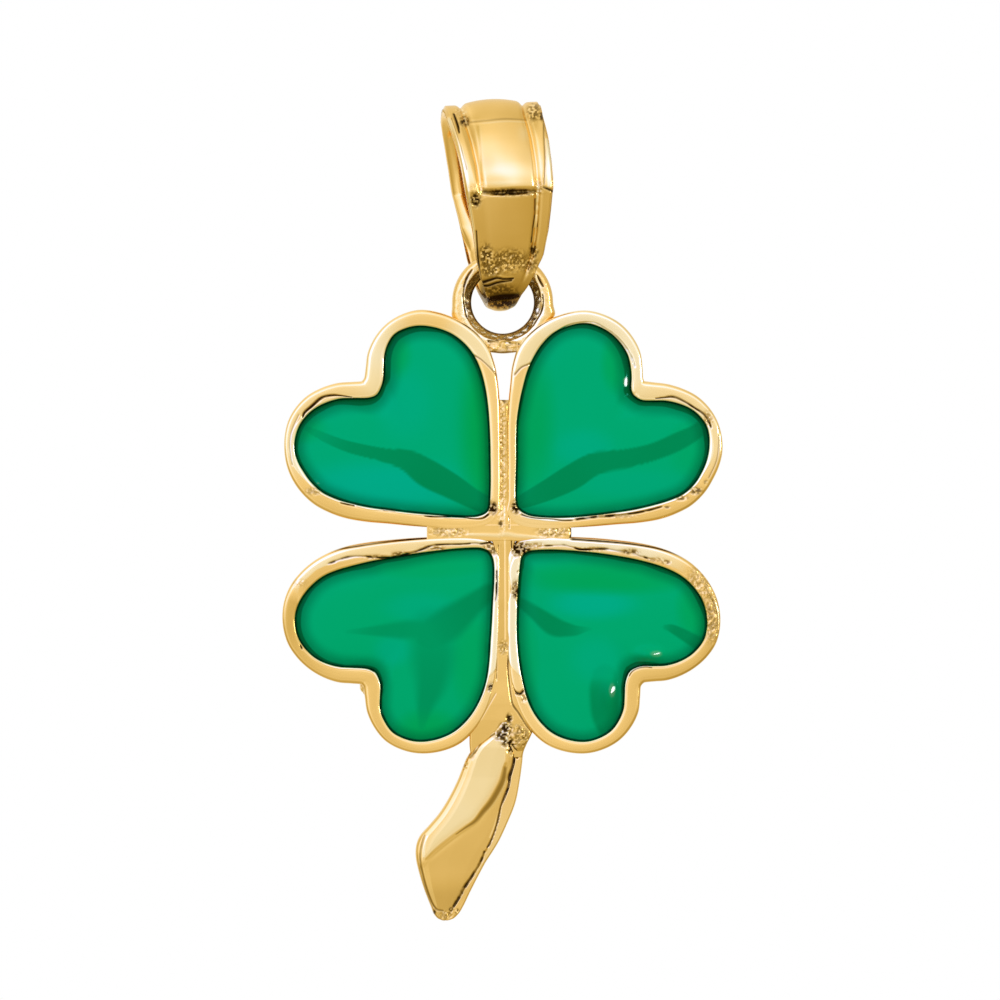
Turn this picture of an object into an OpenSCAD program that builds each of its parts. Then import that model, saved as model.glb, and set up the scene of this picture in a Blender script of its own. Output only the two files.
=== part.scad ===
// Four leaf clover pendant: a cast gold clover with domed green resin in its leaves, hanging from a
// tapered bail. Millimetres. It hangs upright with its face to -Y. The origin is the chain's seat, the
// inside of the bail's top.

/* [Leaves] */
// Width of one leaf window, sideways
window_w = 5.68; // [5:0.02:6.4]
// Height of one leaf window, up and down
window_h = 5.62; // [5:0.02:6.4]
// Width of the gold rim round each window
rim_w = 0.41; // [0.34:0.01:0.5]
// Depth of the rims from front to back
rim_depth = 1.3; // [1:0.05:1.6]
// Gap between the rims of the left and right leaves
gap_across = 0.05; // [0.02:0.01:0.1]
// Gap between the rims of the upper and lower leaves
gap_up = 0.3; // [0.2:0.02:0.4]

/* [Resin] */
// Clearance between the resin and the rim round it
resin_clear = 0.02; // [0.01:0.01:0.04]
// How far the resin's edge lies below the rim's front and back
resin_inset = 0.22; // [0.15:0.01:0.3]
// Rise of the resin's dome above its edge, in front
dome_front = 0.22; // [0.1:0.01:0.3]
// Rise of the resin's dome above its edge, at the back
dome_back = 0.1; // [0.05:0.01:0.2]

/* [Web and ribs] */
// Depth of the web that joins the rims
web_depth = 0.8; // [0.6:0.05:0.95]
// Length of the open slit between the upper leaves, from the ring's bar down to the web
slit_h = 1.45; // [1.2:0.05:1.7]
// Reach of the web to the left of the clover's middle
web_left = 2.26; // [1.8:0.02:2.6]
// Reach of the web to the right of the clover's middle
web_right = 2.06; // [1.8:0.02:2.6]
// Width of the thin raised ribs that cross in the middle
rib_w = 0.32; // [0.24:0.01:0.4]
// How far the ribs' tops lie below the rims' front
rib_inset = 0.1; // [0.05:0.01:0.2]

/* [Ring] */
// Diameter of the hole in the ring
ring_bore = 1.88; // [1.8:0.02:2.2]
// Width of the ring's metal, measured outwards
ring_wire = 0.57; // [0.45:0.01:0.65]
// Depth of the ring from front to back
ring_depth = 0.8; // [0.6:0.02:0.9]
// Height of the ring's middle above the leaf windows
ring_rise = 0.72; // [0.6:0.02:0.9]
// Height of the small bar under the ring
bar_h = 0.34; // [0.28:0.01:0.45]
// How far the bar's lower edge lies below the ring
bar_drop = 0.04; // [0:0.01:0.1]
// How far the ring hangs to the right of the bail's foot
ring_shift = 0.12; // [0:0.01:0.2]

/* [Stem] */
// Length of the stem below the leaves
stem_len = 5.3; // [4:0.05:6.5]
// Width of the stem where it is widest
stem_w = 2.52; // [2:0.02:3]
// Height of the stem's ridge in front of the clover's middle plane
stem_ridge = 0.6; // [0.4:0.02:0.8]
// Depth of the stem behind the clover's middle plane
stem_back = 0.5; // [0.35:0.02:0.6]
// Height of the stem's outer edges in front of that plane
stem_side = 0.12; // [0.05:0.01:0.2]
// Width of the bevels along the stem's edges
stem_bevel = 0.08; // [0.04:0.01:0.12]

/* [Bail] */
// Height of the bail's hollow, from the chain's seat down to the ring's seat
hollow_h = 4.94; // [4.4:0.02:5.6]
// Depth of the bail's hollow from front to back
hollow_d = 2.8; // [2.4:0.05:3.2]
// Width of the bail at its top
bail_w = 2.92; // [2.4:0.02:3.4]
// Thickness of the bail's band at its edges
band_t = 0.4; // [0.3:0.01:0.5]
// Thickness of the bail's foot, under the ring
foot_t = 0.76; // [0.5:0.02:0.9]
// Drop from the chain's seat to the crease across the band
crease_drop = 2.25; // [1.9:0.05:2.6]
// Rise of the panel in the middle of the band above the band's edges
crown_h = 0.14; // [0.05:0.01:0.2]
// Depth of the grooves beside that panel
groove_t = 0.1; // [0.05:0.01:0.15]
// Play of the ring's metal in the bail's foot
ring_play = 0.11; // [0.08:0.01:0.16]
// Clearance on each side of the foot in the ring's hole
foot_clear = 0.49; // [0.4:0.01:0.6]
// Turn of the bail about its own upright line, in degrees
bail_turn = 7; // [0:1:12]
// Lean of the bail to the left, in degrees
bail_lean = 2.8; // [0:0.2:5]
// How far the middle of the bail bows out to the right
bail_bow = 0.24; // [0:0.02:0.3]

/* [Hidden] */

GOLD = [0.93, 0.76, 0.42];
PALE_GOLD = [0.96, 0.82, 0.5];
GREEN = [0.0, 0.62, 0.42];

// Inner corner of a window, measured from the clover's middle
window_x = gap_across / 2 + rim_w;
window_y = gap_up / 2 + rim_w;
// Middle of the ring above the clover's middle, and the middle line of the ring's metal
ring_y = window_y + window_h + ring_rise;
ring_mid_r = (ring_bore + ring_wire) / 2;
// Radius of the seat that the ring's metal turns in
seat_r = norm([ring_wire, ring_depth]) / 2 + ring_play;
// Distance from the chain's seat down to the line that the clover swings about
swing_drop = hollow_h - seat_r;
// Middle of the clover, seen from the chain's seat
clover_x = swing_drop * sin(bail_lean) + ring_shift;
clover_z = -swing_drop * cos(bail_lean) - ring_mid_r - ring_y;

// One leaf's window, from its corner at the clover's middle, and the width of the rim beside it
// [share of the window's width, share of its height, share of the rim's width]
WINDOW = [
    [0.00, 0.08, 1.0], [0.00, 0.28, 1.0], [0.003, 0.485, 1.0], [0.03, 0.68, 1.05], [0.09, 0.84, 1.18],
    [0.20, 0.955, 1.12], [0.36, 1.00, 1.0], [0.49, 0.95, 1.0], [0.56, 0.84, 1.0], [0.56, 0.72, 1.0],
    [0.59, 0.64, 1.0], [0.66, 0.605, 1.0], [0.78, 0.60, 1.0], [0.905, 0.555, 1.0], [0.985, 0.465, 1.0],
    [1.00, 0.345, 1.0], [0.96, 0.235, 1.0], [0.865, 0.135, 1.0], [0.72, 0.075, 1.0], [0.515, 0.03, 1.0],
    [0.28, 0.005, 1.0], [0.08, 0.00, 1.0], [0.02, 0.02, 1.0]];
// Points on the smooth line for each row of WINDOW
WINDOW_STEPS = 2;
// Where the resin's dome peaks, as shares of the window
PEAK_SHARE = [0.42, 0.42];

// Section of a rim: [share of its width, share of half its depth]
RIM = [
    [0.00, -0.75], [0.00, 0.62], [0.09, 0.86], [0.34, 1.00], [0.68, 0.96], [0.92, 0.78],
    [1.00, 0.50], [1.00, -0.70], [0.85, -0.95], [0.50, -1.00], [0.15, -0.95]];

// Rings of the resin's dome: [share of the way out from the peak, share of the dome's rise]
DOME = [[1.00, 0.0], [0.86, 0.42], [0.55, 0.85]];

// Section of the ring: [share of its metal's width, share of half its depth]
RING = [[0.30, -1.00], [0.70, -1.00], [1.00, -0.57], [1.00, 0.57], [0.70, 1.00], [0.42, 1.00],
        [0.00, 0.40], [0.00, -0.57]];

// Shares by which the cast pieces run into each other: the web under the rims and down beside the leaves,
// the bars' feet into the web and the ring, the bar along the ring, and the stem under the rims
UNDER_RIM_SHARE = 0.4;
WEB_SHARE = 0.85;
FOOT_SHARE = 0.38;
BAR_SHARE = 0.3;
STEM_SHARE = 0.3;

// Outline of the stem, from between the lower leaves to its tip
// [share of its length, then shares of its width: left edge, ridge, step, right edge; share of the ridge]
STEM = [
    [-0.33, -0.16,  0.00,  0.06,  0.14, 0.60], [-0.16, -0.36,  0.02,  0.12,  0.26, 0.75],
    [ 0.00, -0.40,  0.07,  0.19,  0.275, 0.90], [ 0.145, -0.465, 0.03,  0.125, 0.245, 1.00],
    [ 0.29, -0.60, -0.11,  0.04,  0.185, 1.00], [ 0.435, -0.80, -0.345, -0.065, 0.09, 1.00],
    [ 0.54, -0.985, -0.605, -0.135, -0.005, 0.95], [ 0.635, -1.035, -0.87, -0.225, -0.12, 0.80],
    [ 0.72, -1.025, -0.93, -0.31, -0.215, 0.70], [ 0.84, -0.96, -0.88, -0.46, -0.35, 0.62],
    [ 0.925, -0.90, -0.835, -0.57, -0.435, 0.55], [ 1.00, -0.80, -0.77, -0.61, -0.54, 0.45]];
STEM_STEPS = 2;
// Height of the ridge's right foot above the step, as a share of the ridge's height
STEP_SHARE = 0.55;

// The bail's band by height: [share of its height, share of its width above the foot's,
// share of the crown, share of the bow, share of its width that its inside keeps]
BAND = [
    [1.00, 1.00, 1.0, 0.0, 0.84], [0.94, 0.98, 1.0, 0.0, 0.84], [0.90, 0.97, 0.8, 0.15, 0.84],
    [0.82, 0.95, 0.7, 0.45, 0.84], [0.70, 0.915, 0.7, 0.75, 0.84], [0.61, 0.89, 0.6, 0.9, 0.84],
    [0.595, 0.885, 0.5, 0.92, 0.84], [0.576, 0.87, -0.5, 0.93, 0.84], [0.555, 0.85, 0.4, 0.94, 0.84],
    [0.535, 0.83, 0.4, 0.95, 0.84], [0.46, 0.77, 0.3, 1.0, 0.82], [0.36, 0.69, 0.2, 1.0, 0.7],
    [0.24, 0.575, 0.0, 0.85, 0.5], [0.135, 0.33, 0.3, 0.4, 0.5], [0.055, 0.11, 0.7, 0.1, 0.7],
    [0.00, 0.00, 0.9, 0.0, 0.8]];
// Stations of the band: angles on its round top, shares of its straight legs, shares of its foot's turn
TOP_TURN = [90, 80, 70, 60, 50, 40, 31, 23, 15, 8, 3, 0];
LEG = [0.06, 0.2, 0.4, 0.6, 0.8];
FOOT_TURN = [0, 0.2, 0.4, 0.6, 0.8, 1];
// Growth of the foot's outside radius over its inside, as a share of the band's thickness
FLARE_SHARE = 1.2;
// Outside of the band's section: [share of its half width, share of its thickness, grooves, crown]
BAND_OUTSIDE = [
    [-1.00, 0.70, 0, 0], [-0.94, 1.00, 0, 0], [-0.84, 1.00, 0, 0], [-0.64, 1.00, -1, 0],
    [-0.50, 1.00, 0, 0.6], [0.00, 1.00, 0, 1], [0.50, 1.00, 0, 0.6], [0.64, 1.00, -1, 0],
    [0.84, 1.00, 0, 0], [0.94, 1.00, 0, 0], [1.00, 0.70, 0, 0]];
// Inside of the band's section: [share of the inside's half width, share of its thickness]
BAND_INSIDE = [[1.12, 0.18], [1.00, 0.00], [-1.00, 0.00], [-1.12, 0.18]];

// A point of a smooth curve through p1 and p2, at share t of the way
function knot(a, b) = sqrt(max(norm(b - a), 0.000001));
function blend2(a, b, ta, tb, t) = a * ((tb - t) / (tb - ta)) + b * ((t - ta) / (tb - ta));
function curve_at(p0, p1, p2, p3, share) =
    let (t1 = knot(p0, p1), t2 = t1 + knot(p1, p2), t3 = t2 + knot(p2, p3),
         t = t1 + share * (t2 - t1),
         a1 = blend2(p0, p1, 0, t1, t), a2 = blend2(p1, p2, t1, t2, t), a3 = blend2(p2, p3, t2, t3, t),
         b1 = blend2(a1, a2, 0, t2, t), b2 = blend2(a2, a3, t1, t3, t))
    blend2(b1, b2, t1, t2, t);
function closed_curve(rows, steps) =
    let (n = len(rows))
    [for (i = [0 : n - 1], k = [0 : steps - 1])
        curve_at(rows[(i + n - 1) % n], rows[i], rows[(i + 1) % n], rows[(i + 2) % n], k / steps)];
function open_curve(rows, steps) =
    let (n = len(rows))
    concat([for (i = [0 : n - 2], k = [0 : steps - 1])
        curve_at(i == 0 ? 2 * rows[0] - rows[1] : rows[i - 1], rows[i], rows[i + 1],
                 i == n - 2 ? 2 * rows[n - 1] - rows[n - 2] : rows[i + 2], k / steps)],
        [rows[n - 1]]);
function unit(v) = v / norm(v);

// The window's line in the upper right leaf, and its normals, which point out into the rim
window_rows = closed_curve(WINDOW, WINDOW_STEPS);
window_n = len(window_rows);
window_line = [for (p = window_rows) [window_x + p[0] * window_w, window_y + p[1] * window_h]];
window_out = [for (i = [0 : window_n - 1])
    let (d = window_line[(i + 1) % window_n] - window_line[(i + window_n - 1) % window_n])
    unit([-d[1], d[0]])];

// Skin of a closed row of closed sections, or of an open row with two flat ends
function skin(rows, cols, closed) =
    [for (i = [0 : rows - (closed ? 1 : 2)], k = [0 : cols - 1])
        let (j = (i + 1) % rows, m = (k + 1) % cols)
        each [[i * cols + k, i * cols + m, j * cols + m], [i * cols + k, j * cols + m, j * cols + k]]];
module loft(sections, closed = false) {
    rows = len(sections);
    cols = len(sections[0]);
    ends = closed ? [] : [[for (k = [cols - 1 : -1 : 0]) k], [for (k = [0 : cols - 1]) (rows - 1) * cols + k]];
    polyhedron([for (s = sections) each s], concat(skin(rows, cols, closed), ends), convexity = 6);
}

// The clover's own frame: its middle at the origin, up along Y and its face along Z
module stand_up() {
    translate([clover_x, 0, clover_z]) rotate([90, 0, 0]) children();
}

// Copies a leaf into the other three quarters
module quarter(side, level) {
    mirror([side < 0 ? 1 : 0, 0, 0]) mirror([0, level < 0 ? 1 : 0, 0]) children();
}

// The rim round one window
module rim() {
    loft([for (i = [0 : window_n - 1])
        [for (s = RIM)
            let (p = window_line[i] + window_out[i] * s[0] * rim_w * window_rows[i][2])
            [p[0], p[1], s[1] * rim_depth / 2]]], closed = true);
}

// A round-topped bar from one point to another, in the clover's own frame
module bar(a, b, w, top, bottom) {
    hull() for (p = [a, b]) {
        translate([p[0], p[1], top - w / 2]) sphere(d = w, $fn = 16);
        translate([p[0], p[1], bottom]) cylinder(d = w, h = w / 4, $fn = 16);
    }
}

// The web between the rims, with the raised ribs that cross in the middle and the bar under the ring
module web_and_ribs() {
    bar_y = ring_y - ring_bore / 2 - ring_wire - bar_drop + bar_h / 2;
    web_top = bar_y - bar_h / 2 - slit_h;
    web_bottom = -window_y - window_h * WEB_SHARE;
    web_half_w = window_x - rim_w * UNDER_RIM_SHARE;
    web_half_h = window_y - rim_w * UNDER_RIM_SHARE;
    cross_w = gap_up + rim_w / 2;
    rib_top = rim_depth / 2 - rib_inset;
    rib_foot = -web_depth * FOOT_SHARE;
    bar_face = ring_depth * FOOT_SHARE;
    translate([-web_half_w, web_bottom, -web_depth / 2])
        cube([2 * web_half_w, web_top - web_bottom, web_depth]);
    translate([cross_w / 4 - web_left, -web_half_h, -web_depth / 2])
        cube([web_left + web_right - cross_w / 2, 2 * web_half_h, web_depth]);
    for (y = [web_top - rib_w / 2, -window_y - window_h / 2, -window_y - window_h])
        bar([0, 0], [0, y], rib_w, rib_top, rib_foot);
    for (x = [web_right, web_right / 2, -web_left / 2, -web_left])
        bar([0, 0], [x - sign(x) * cross_w / 2, 0], cross_w, rib_top - rib_inset * abs(x) / web_left, rib_foot);
    for (side = [-1, 1])
        bar([0, bar_y], [side * ring_bore * BAR_SHARE, bar_y], bar_h, bar_face, -bar_face);
}

// The fixed ring that the bail goes through
module ring() {
    translate([0, ring_y, 0]) rotate_extrude($fn = 56) translate([ring_bore / 2, 0])
        polygon([for (p = RING) [p[0] * ring_wire, p[1] * ring_depth / 2]]);
}

// The stem: an S-shaped ridge in front, a narrow step along its right edge and a flat back
module stem() {
    top_y = -window_y - window_h - rim_w * STEM_SHARE;
    loft([for (r = open_curve(STEM, STEM_STEPS))
        let (y = top_y - r[0] * stem_len,
             x_left = r[1] * stem_w, x_ridge = r[2] * stem_w, x_step = r[3] * stem_w, x_right = r[4] * stem_w,
             z_ridge = r[5] * stem_ridge)
        [[x_left, y, stem_side], [x_ridge, y, z_ridge], [x_step - stem_bevel / 2, y, z_ridge * STEP_SHARE],
         [x_step, y, stem_side], [x_right - stem_bevel / 2, y, stem_side],
         [x_right, y, stem_side - stem_bevel / 2], [x_right, y, stem_bevel - stem_back],
         [x_right - stem_bevel, y, -stem_back], [x_left + stem_bevel, y, -stem_back],
         [x_left, y, stem_bevel - stem_back]]]);
}

// The whole gold casting
module clover_frame() {
    color(GOLD) stand_up() union() {
        for (side = [-1, 1], level = [-1, 1]) quarter(side, level) rim();
        web_and_ribs();
        ring();
        stem();
    }
}

// The domed resin in one window
module resin(side, level) {
    edge = [for (i = [0 : window_n - 1]) window_line[i] - window_out[i] * resin_clear];
    peak = [window_x + PEAK_SHARE[0] * window_w, window_y + PEAK_SHARE[1] * window_h];
    face = rim_depth / 2 - resin_inset;
    front = [for (d = DOME) [for (p = edge)
        let (q = peak + (p - peak) * d[0]) [q[0], q[1], face + d[1] * dome_front]]];
    back = [for (d = DOME) [for (p = edge)
        let (q = peak + (p - peak) * d[0]) [q[0], q[1], -face - d[1] * dome_back]]];
    rings = len(DOME);
    sections = concat([for (i = [rings - 1 : -1 : 0]) back[i]], front);
    points = concat([for (s = sections) each s],
        [[peak[0], peak[1], -face - dome_back], [peak[0], peak[1], face + dome_front]]);
    last = (len(sections) - 1) * window_n;
    back_peak = len(points) - 2;
    front_peak = len(points) - 1;
    caps = [for (k = [0 : window_n - 1])
        let (m = (k + 1) % window_n)
        each [[k, back_peak, m], [last + k, last + m, front_peak]]];
    color(GREEN) stand_up() quarter(side, level)
        polyhedron(points, concat(skin(len(sections), window_n, false), caps), convexity = 4);
}
module enamel_upper_left() { resin(-1, 1); }
module enamel_upper_right() { resin(1, 1); }
module enamel_lower_left() { resin(-1, -1); }
module enamel_lower_right() { resin(1, -1); }

// Side line of the bail's front half as [depth, height] points: a round top, a straight leg that slants
// in below the crease, and the round foot. grow is 0 for the inside and 1 for the outside.
function leg_line(grow) =
    let (half = hollow_d / 2 + grow * band_t,
         rise = crease_drop + grow * band_t,
         foot_r = seat_r + grow * band_t * FLARE_SHARE,
         foot_z = -hollow_h - grow * foot_t + foot_r,
         reach = norm([half, -crease_drop - foot_z]),
         meet = atan2(-crease_drop - foot_z, half) - acos(foot_r / reach),
         foot_top = [foot_r * cos(meet), foot_z + foot_r * sin(meet)],
         fold = [half, -crease_drop])
    concat(
        [for (a = TOP_TURN) [half * cos(a), -crease_drop + rise * sin(a)]],
        [for (s = LEG) fold + (foot_top - fold) * s],
        [for (s = FOOT_TURN)
            let (a = meet + (-90 - meet) * s) [foot_r * cos(a), foot_z + foot_r * sin(a)]]);

module bail() {
    inside = leg_line(0);
    outside = leg_line(1);
    n = len(inside);
    foot_w = ring_bore - 2 * foot_clear;
    full_h = hollow_h + foot_t + band_t;
    width_at = [for (r = BAND) [r[0], r[1]]];
    crown_at = [for (r = BAND) [r[0], r[2]]];
    bow_at = [for (r = BAND) [r[0], r[3]]];
    inside_at = [for (r = BAND) [r[0], r[4]]];
    // Stations round the loop: down the front, then up the back
    loop = concat([for (i = [0 : n - 1]) [i, -1]], [for (i = [n - 2 : -1 : 1]) [i, 1]]);
    color(PALE_GOLD) rotate([0, -bail_lean, 0]) rotate([0, 0, bail_turn])
        loft([for (st = loop)
            let (a = inside[st[0]], b = outside[st[0]], out = unit(b - a),
                 share = (b[1] + hollow_h + foot_t) / full_h,
                 half_w = (foot_w + lookup(share, width_at) * (bail_w - foot_w)) / 2,
                 crown = lookup(share, crown_at) * crown_h,
                 bow = lookup(share, bow_at) * bail_bow)
            concat(
                [for (s = BAND_OUTSIDE)
                    let (p = a + (b - a) * s[1] + out * (s[2] * groove_t + s[3] * crown))
                    [bow + s[0] * half_w, st[1] * p[0], p[1]]],
                [for (s = BAND_INSIDE)
                    let (p = a + (b - a) * s[1])
                    [bow + s[0] * lookup(share, inside_at) * half_w, st[1] * p[0], p[1]]])], closed = true);
}

clover_frame();
enamel_upper_left();
enamel_upper_right();
enamel_lower_left();
enamel_lower_right();
bail();
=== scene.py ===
import bpy
import numpy as np
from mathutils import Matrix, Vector


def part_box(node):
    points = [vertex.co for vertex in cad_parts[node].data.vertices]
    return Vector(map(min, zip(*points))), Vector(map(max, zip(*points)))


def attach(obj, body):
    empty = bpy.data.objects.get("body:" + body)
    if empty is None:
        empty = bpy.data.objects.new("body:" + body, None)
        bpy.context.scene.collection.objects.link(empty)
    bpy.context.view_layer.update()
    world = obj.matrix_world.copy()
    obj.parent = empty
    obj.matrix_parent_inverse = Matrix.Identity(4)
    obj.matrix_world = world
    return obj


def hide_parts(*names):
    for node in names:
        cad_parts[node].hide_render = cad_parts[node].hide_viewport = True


# A four leaf clover pendant: a cast yellow gold clover with green resin in its leaves, hanging by its ring from a
# tapered gold bail. Its face looks along -Y and it hangs upright. Lengths in the sections are millimetres from the
# chain's seat, X to the right and Z up, unless a line says otherwise.
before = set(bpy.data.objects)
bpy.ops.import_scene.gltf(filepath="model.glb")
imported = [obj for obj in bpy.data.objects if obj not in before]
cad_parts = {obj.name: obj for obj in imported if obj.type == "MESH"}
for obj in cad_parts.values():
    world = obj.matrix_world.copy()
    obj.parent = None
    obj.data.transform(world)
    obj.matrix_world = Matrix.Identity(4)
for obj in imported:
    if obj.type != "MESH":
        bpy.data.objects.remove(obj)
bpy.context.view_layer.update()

# The rims of the four leaves. Each is one wall of the yellow gold casting, bent round a heart-shaped window, with a
# polished flat face and a thin lip inside that holds the resin; highlight and shade are painted on both, and a line
# of painted shade runs along the resin in places.
MM = 0.001
RESIN_CLEAR = 0.02
LEAVES = {"upper_left": (-1, 1), "upper_right": (1, 1), "lower_left": (-1, -1), "lower_right": (1, -1)}


def box_mm(node):
    low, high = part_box(node)
    return np.array(low) / MM, np.array(high) / MM


windows = {leaf: box_mm("enamel_" + leaf) for leaf in LEAVES}
middle_x = (windows["upper_left"][1][0] + windows["lower_right"][0][0]) / 2
middle_z = (windows["upper_left"][0][2] + windows["lower_right"][1][2]) / 2
rim_half = box_mm("clover_frame")[1][1]

# One leaf's window from its corner at the clover's middle: share of its width, share of its height
WINDOW = [
    (0.00, 0.08), (0.00, 0.28), (0.003, 0.485), (0.03, 0.68), (0.09, 0.84), (0.20, 0.955), (0.36, 1.00), (0.49, 0.95),
    (0.56, 0.84), (0.56, 0.72), (0.59, 0.64), (0.66, 0.605), (0.78, 0.60), (0.905, 0.555), (0.985, 0.465),
    (1.00, 0.345), (0.96, 0.235), (0.865, 0.135), (0.72, 0.075), (0.515, 0.03), (0.28, 0.005), (0.08, 0.00),
    (0.02, 0.02)]
# How far each leaf's rim was filed beyond that line, at each of its rows: inner edge, outer edge
FILED = {
    "upper_left": [
        (.05, .37), (.06, .37), (.04, .38), (.06, .48), (.07, .58), (.03, .50), (.00, .49), (.03, .44), (-.08, .44),
        (-.05, .53), (-.04, .57), (.05, .57), (.06, .55), (.04, .50), (.05, .43), (.11, .43), (.09, .51), (.12, .57),
        (.11, .59), (.06, .48), (.06, .45), (.09, .42), (.09, .42)],
    "upper_right": [
        (.03, .28), (.01, .28), (.01, .30), (-.03, .38), (-.02, .54), (.05, .48), (.08, .47), (.06, .48), (.13, .53),
        (.24, .60), (.10, .60), (-.01, .58), (.00, .52), (.04, .48), (.07, .44), (.06, .48), (.10, .51), (.17, .60),
        (.15, .62), (.13, .50), (.13, .45), (.06, .42), (.01, .42)],
    "lower_left": [
        (.17, .35), (.13, .33), (.08, .33), (.12, .38), (.10, .45), (.09, .50), (.08, .45), (.11, .46), (.05, .46),
        (.03, .56), (.04, .60), (.10, .60), (.09, .57), (.08, .47), (.07, .44), (.09, .49), (.05, .55), (.00, .55),
        (-.04, .58), (-.04, .50), (.02, .45), (.09, .42), (.15, .42)],
    "lower_right": [
        (-.10, .30), (-.02, .30), (.00, .32), (.01, .38), (.06, .45), (.10, .50), (.08, .45), (.05, .44), (.00, .47),
        (.04, .53), (.02, .57), (.04, .55), (.05, .51), (.03, .42), (.01, .40), (-.01, .41), (.00, .45), (.00, .50),
        (.02, .55), (.02, .50), (.03, .45), (.00, .42), (-.07, .38)]}
# Points to each row while the line is fitted to the solid's window, and to each of those afterwards
FITTED_STEPS, FINE_STEPS = 2, 14
SHORTEST = 1e-6


def smooth_line(rows, steps, closed=False):
    """A smooth line through the rows, with so many points for each."""
    rows = np.asarray(rows, float)
    if closed:
        rows = np.vstack([rows[-1:], rows, rows[:2]])
    else:
        rows = np.vstack([2 * rows[0] - rows[1], rows, 2 * rows[-1] - rows[-2]])
    share = np.arange(steps)[:, None] / steps
    line = []
    for a, b, c, d in zip(rows, rows[1:], rows[2:], rows[3:]):
        t1, t2, t3 = np.cumsum([max(np.linalg.norm(q - p), SHORTEST) ** 0.5 for p, q in ((a, b), (b, c), (c, d))])
        t = t1 + share * (t2 - t1)
        ab = (a * (t1 - t) + b * t) / t1
        bc = (b * (t2 - t) + c * (t - t1)) / (t2 - t1)
        cd = (c * (t3 - t) + d * (t - t2)) / (t3 - t2)
        abc = (ab * (t2 - t) + bc * t) / t2
        bcd = (bc * (t3 - t) + cd * (t - t1)) / (t3 - t1)
        line.append((abc * (t2 - t) + bcd * (t - t1)) / (t2 - t1))
    return np.vstack(line if closed else line + [rows[-2:-1]])


def window_line(leaf):
    """The window's edge in X and Z, its direction out into the rim, the rim's width, and the row of the table."""
    ways = np.array(LEAVES[leaf])
    low, high = (corner[[0, 2]] for corner in windows[leaf])
    rows = smooth_line(np.hstack([WINDOW, FILED[leaf]]), FITTED_STEPS, closed=True)
    spread = rows[:, :2].min(0), rows[:, :2].max(0)
    share = (rows[:, :2] - spread[0]) / (spread[1] - spread[0])
    near = np.where(ways > 0, low, high) - ways * RESIN_CLEAR
    far = np.where(ways > 0, high, low) + ways * RESIN_CLEAR
    edge = near + share * (far - near)
    run = np.roll(edge, -1, 0) - np.roll(edge, 1, 0)
    out = np.stack([-run[:, 1], run[:, 0]], -1) * np.prod(ways)
    out /= np.linalg.norm(out, axis=1)[:, None]
    fine = smooth_line(np.hstack([edge, out, rows[:, 2:]]), FINE_STEPS, closed=True)
    edge, out, inner, outer = fine[:, :2], fine[:, 2:4], fine[:, 4:5], fine[:, 5:6]
    return edge + out * inner, out, outer - inner, np.arange(len(fine)) / (FITTED_STEPS * FINE_STEPS)


# Numbers that scramble the place of a lump and its seed into its height
PLACE_KEYS, SEED_KEY, HEIGHT_KEY = np.array([73856093, 19349663, 83492791]), 668265263, 1274126177
LUMPS_SHIFT = 37.3


def lumps(points, size, seed):
    """Smooth random heights from -1 to 1 over points in millimetres, about one lump to each size."""
    place = np.asarray(points, float) / size + LUMPS_SHIFT
    cell = np.floor(place).astype(np.int64)
    part = place - cell
    part = part * part * (3 - 2 * part)
    total = 0.0
    for corner in np.ndindex(2, 2, 2):
        key = (cell + np.array(corner)) * PLACE_KEYS
        key = (key[..., 0] ^ key[..., 1] ^ key[..., 2]) + seed * SEED_KEY
        key = ((key ^ (key >> 13)) * HEIGHT_KEY) & 0x7FFFFFFF
        weight = np.prod(np.where(np.array(corner) == 1, part, 1 - part), axis=-1)
        total = total + weight * ((key ^ (key >> 15)) & 0xFFFF) / 65535.0
    return 2 * total - 1


def ramp(x, start, end):
    """0 before start and 1 after end, with a smooth change between them."""
    t = np.clip((x - start) / (end - start), 0, 1)
    return t * t * (3 - 2 * t)


def in_plane(x, z):
    """The places as points of the clover's middle plane."""
    return np.stack([x, np.zeros_like(x), z], -1)


def spot(x, z, spot_x, spot_z, reach_x, reach_z, steep=2):
    """1 in the middle of a round or oval spot, falling off softly or steeply about its reach."""
    return np.exp(-(((x - spot_x) / reach_x) ** 2 + ((z - spot_z) / reach_z) ** 2) ** steep)


def bumpy(points, *kinds):
    """Bumps of one or more kinds together: the amount, size and seed of each."""
    return sum(amount * lumps(points, size, seed) for amount, size, seed in kinds)


def from_line(x, z, points):
    """Distance to a line of straight runs, the side of it that a place lies on, and how far along it, in points."""
    points = np.asarray(points, float)
    best, side, along = np.full(np.shape(x), np.inf), np.ones(np.shape(x)), np.zeros(np.shape(x))
    for i, (a, b) in enumerate(zip(points, points[1:])):
        d = b - a
        t = np.clip(((x - a[0]) * d[0] + (z - a[1]) * d[1]) / (d @ d), 0, 1)
        away = np.hypot(x - a[0] - t * d[0], z - a[1] - t * d[1])
        nearer = away < best
        best = np.where(nearer, away, best)
        along = np.where(nearer, i + t, along)
        side = np.where(nearer, np.sign(d[0] * (z - a[1]) - d[1] * (x - a[0])), side)
    return best, side, along


def past_line(x, z, points):
    """How far each place lies past a line to its left, less than 0 to its right."""
    away, side, _ = from_line(x, z, points)
    return away * side


# Size of the crumbs in a pit and of the dashes of a broken line; points on each scored line; how much more stain and
# painted shade a line gets, and how much painted sheen a line and a pit lose, than the tables say; and the stain and
# painted shade from which a pit is dark all through
CRUMB, DASH = 0.05, 0.13
LINE_STEPS = 4
LINE_STAIN_SHADE, LINE_DULL, PIT_DULL, PIT_DARK = 1.5, 0.6, 0.7, 0.65


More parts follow.
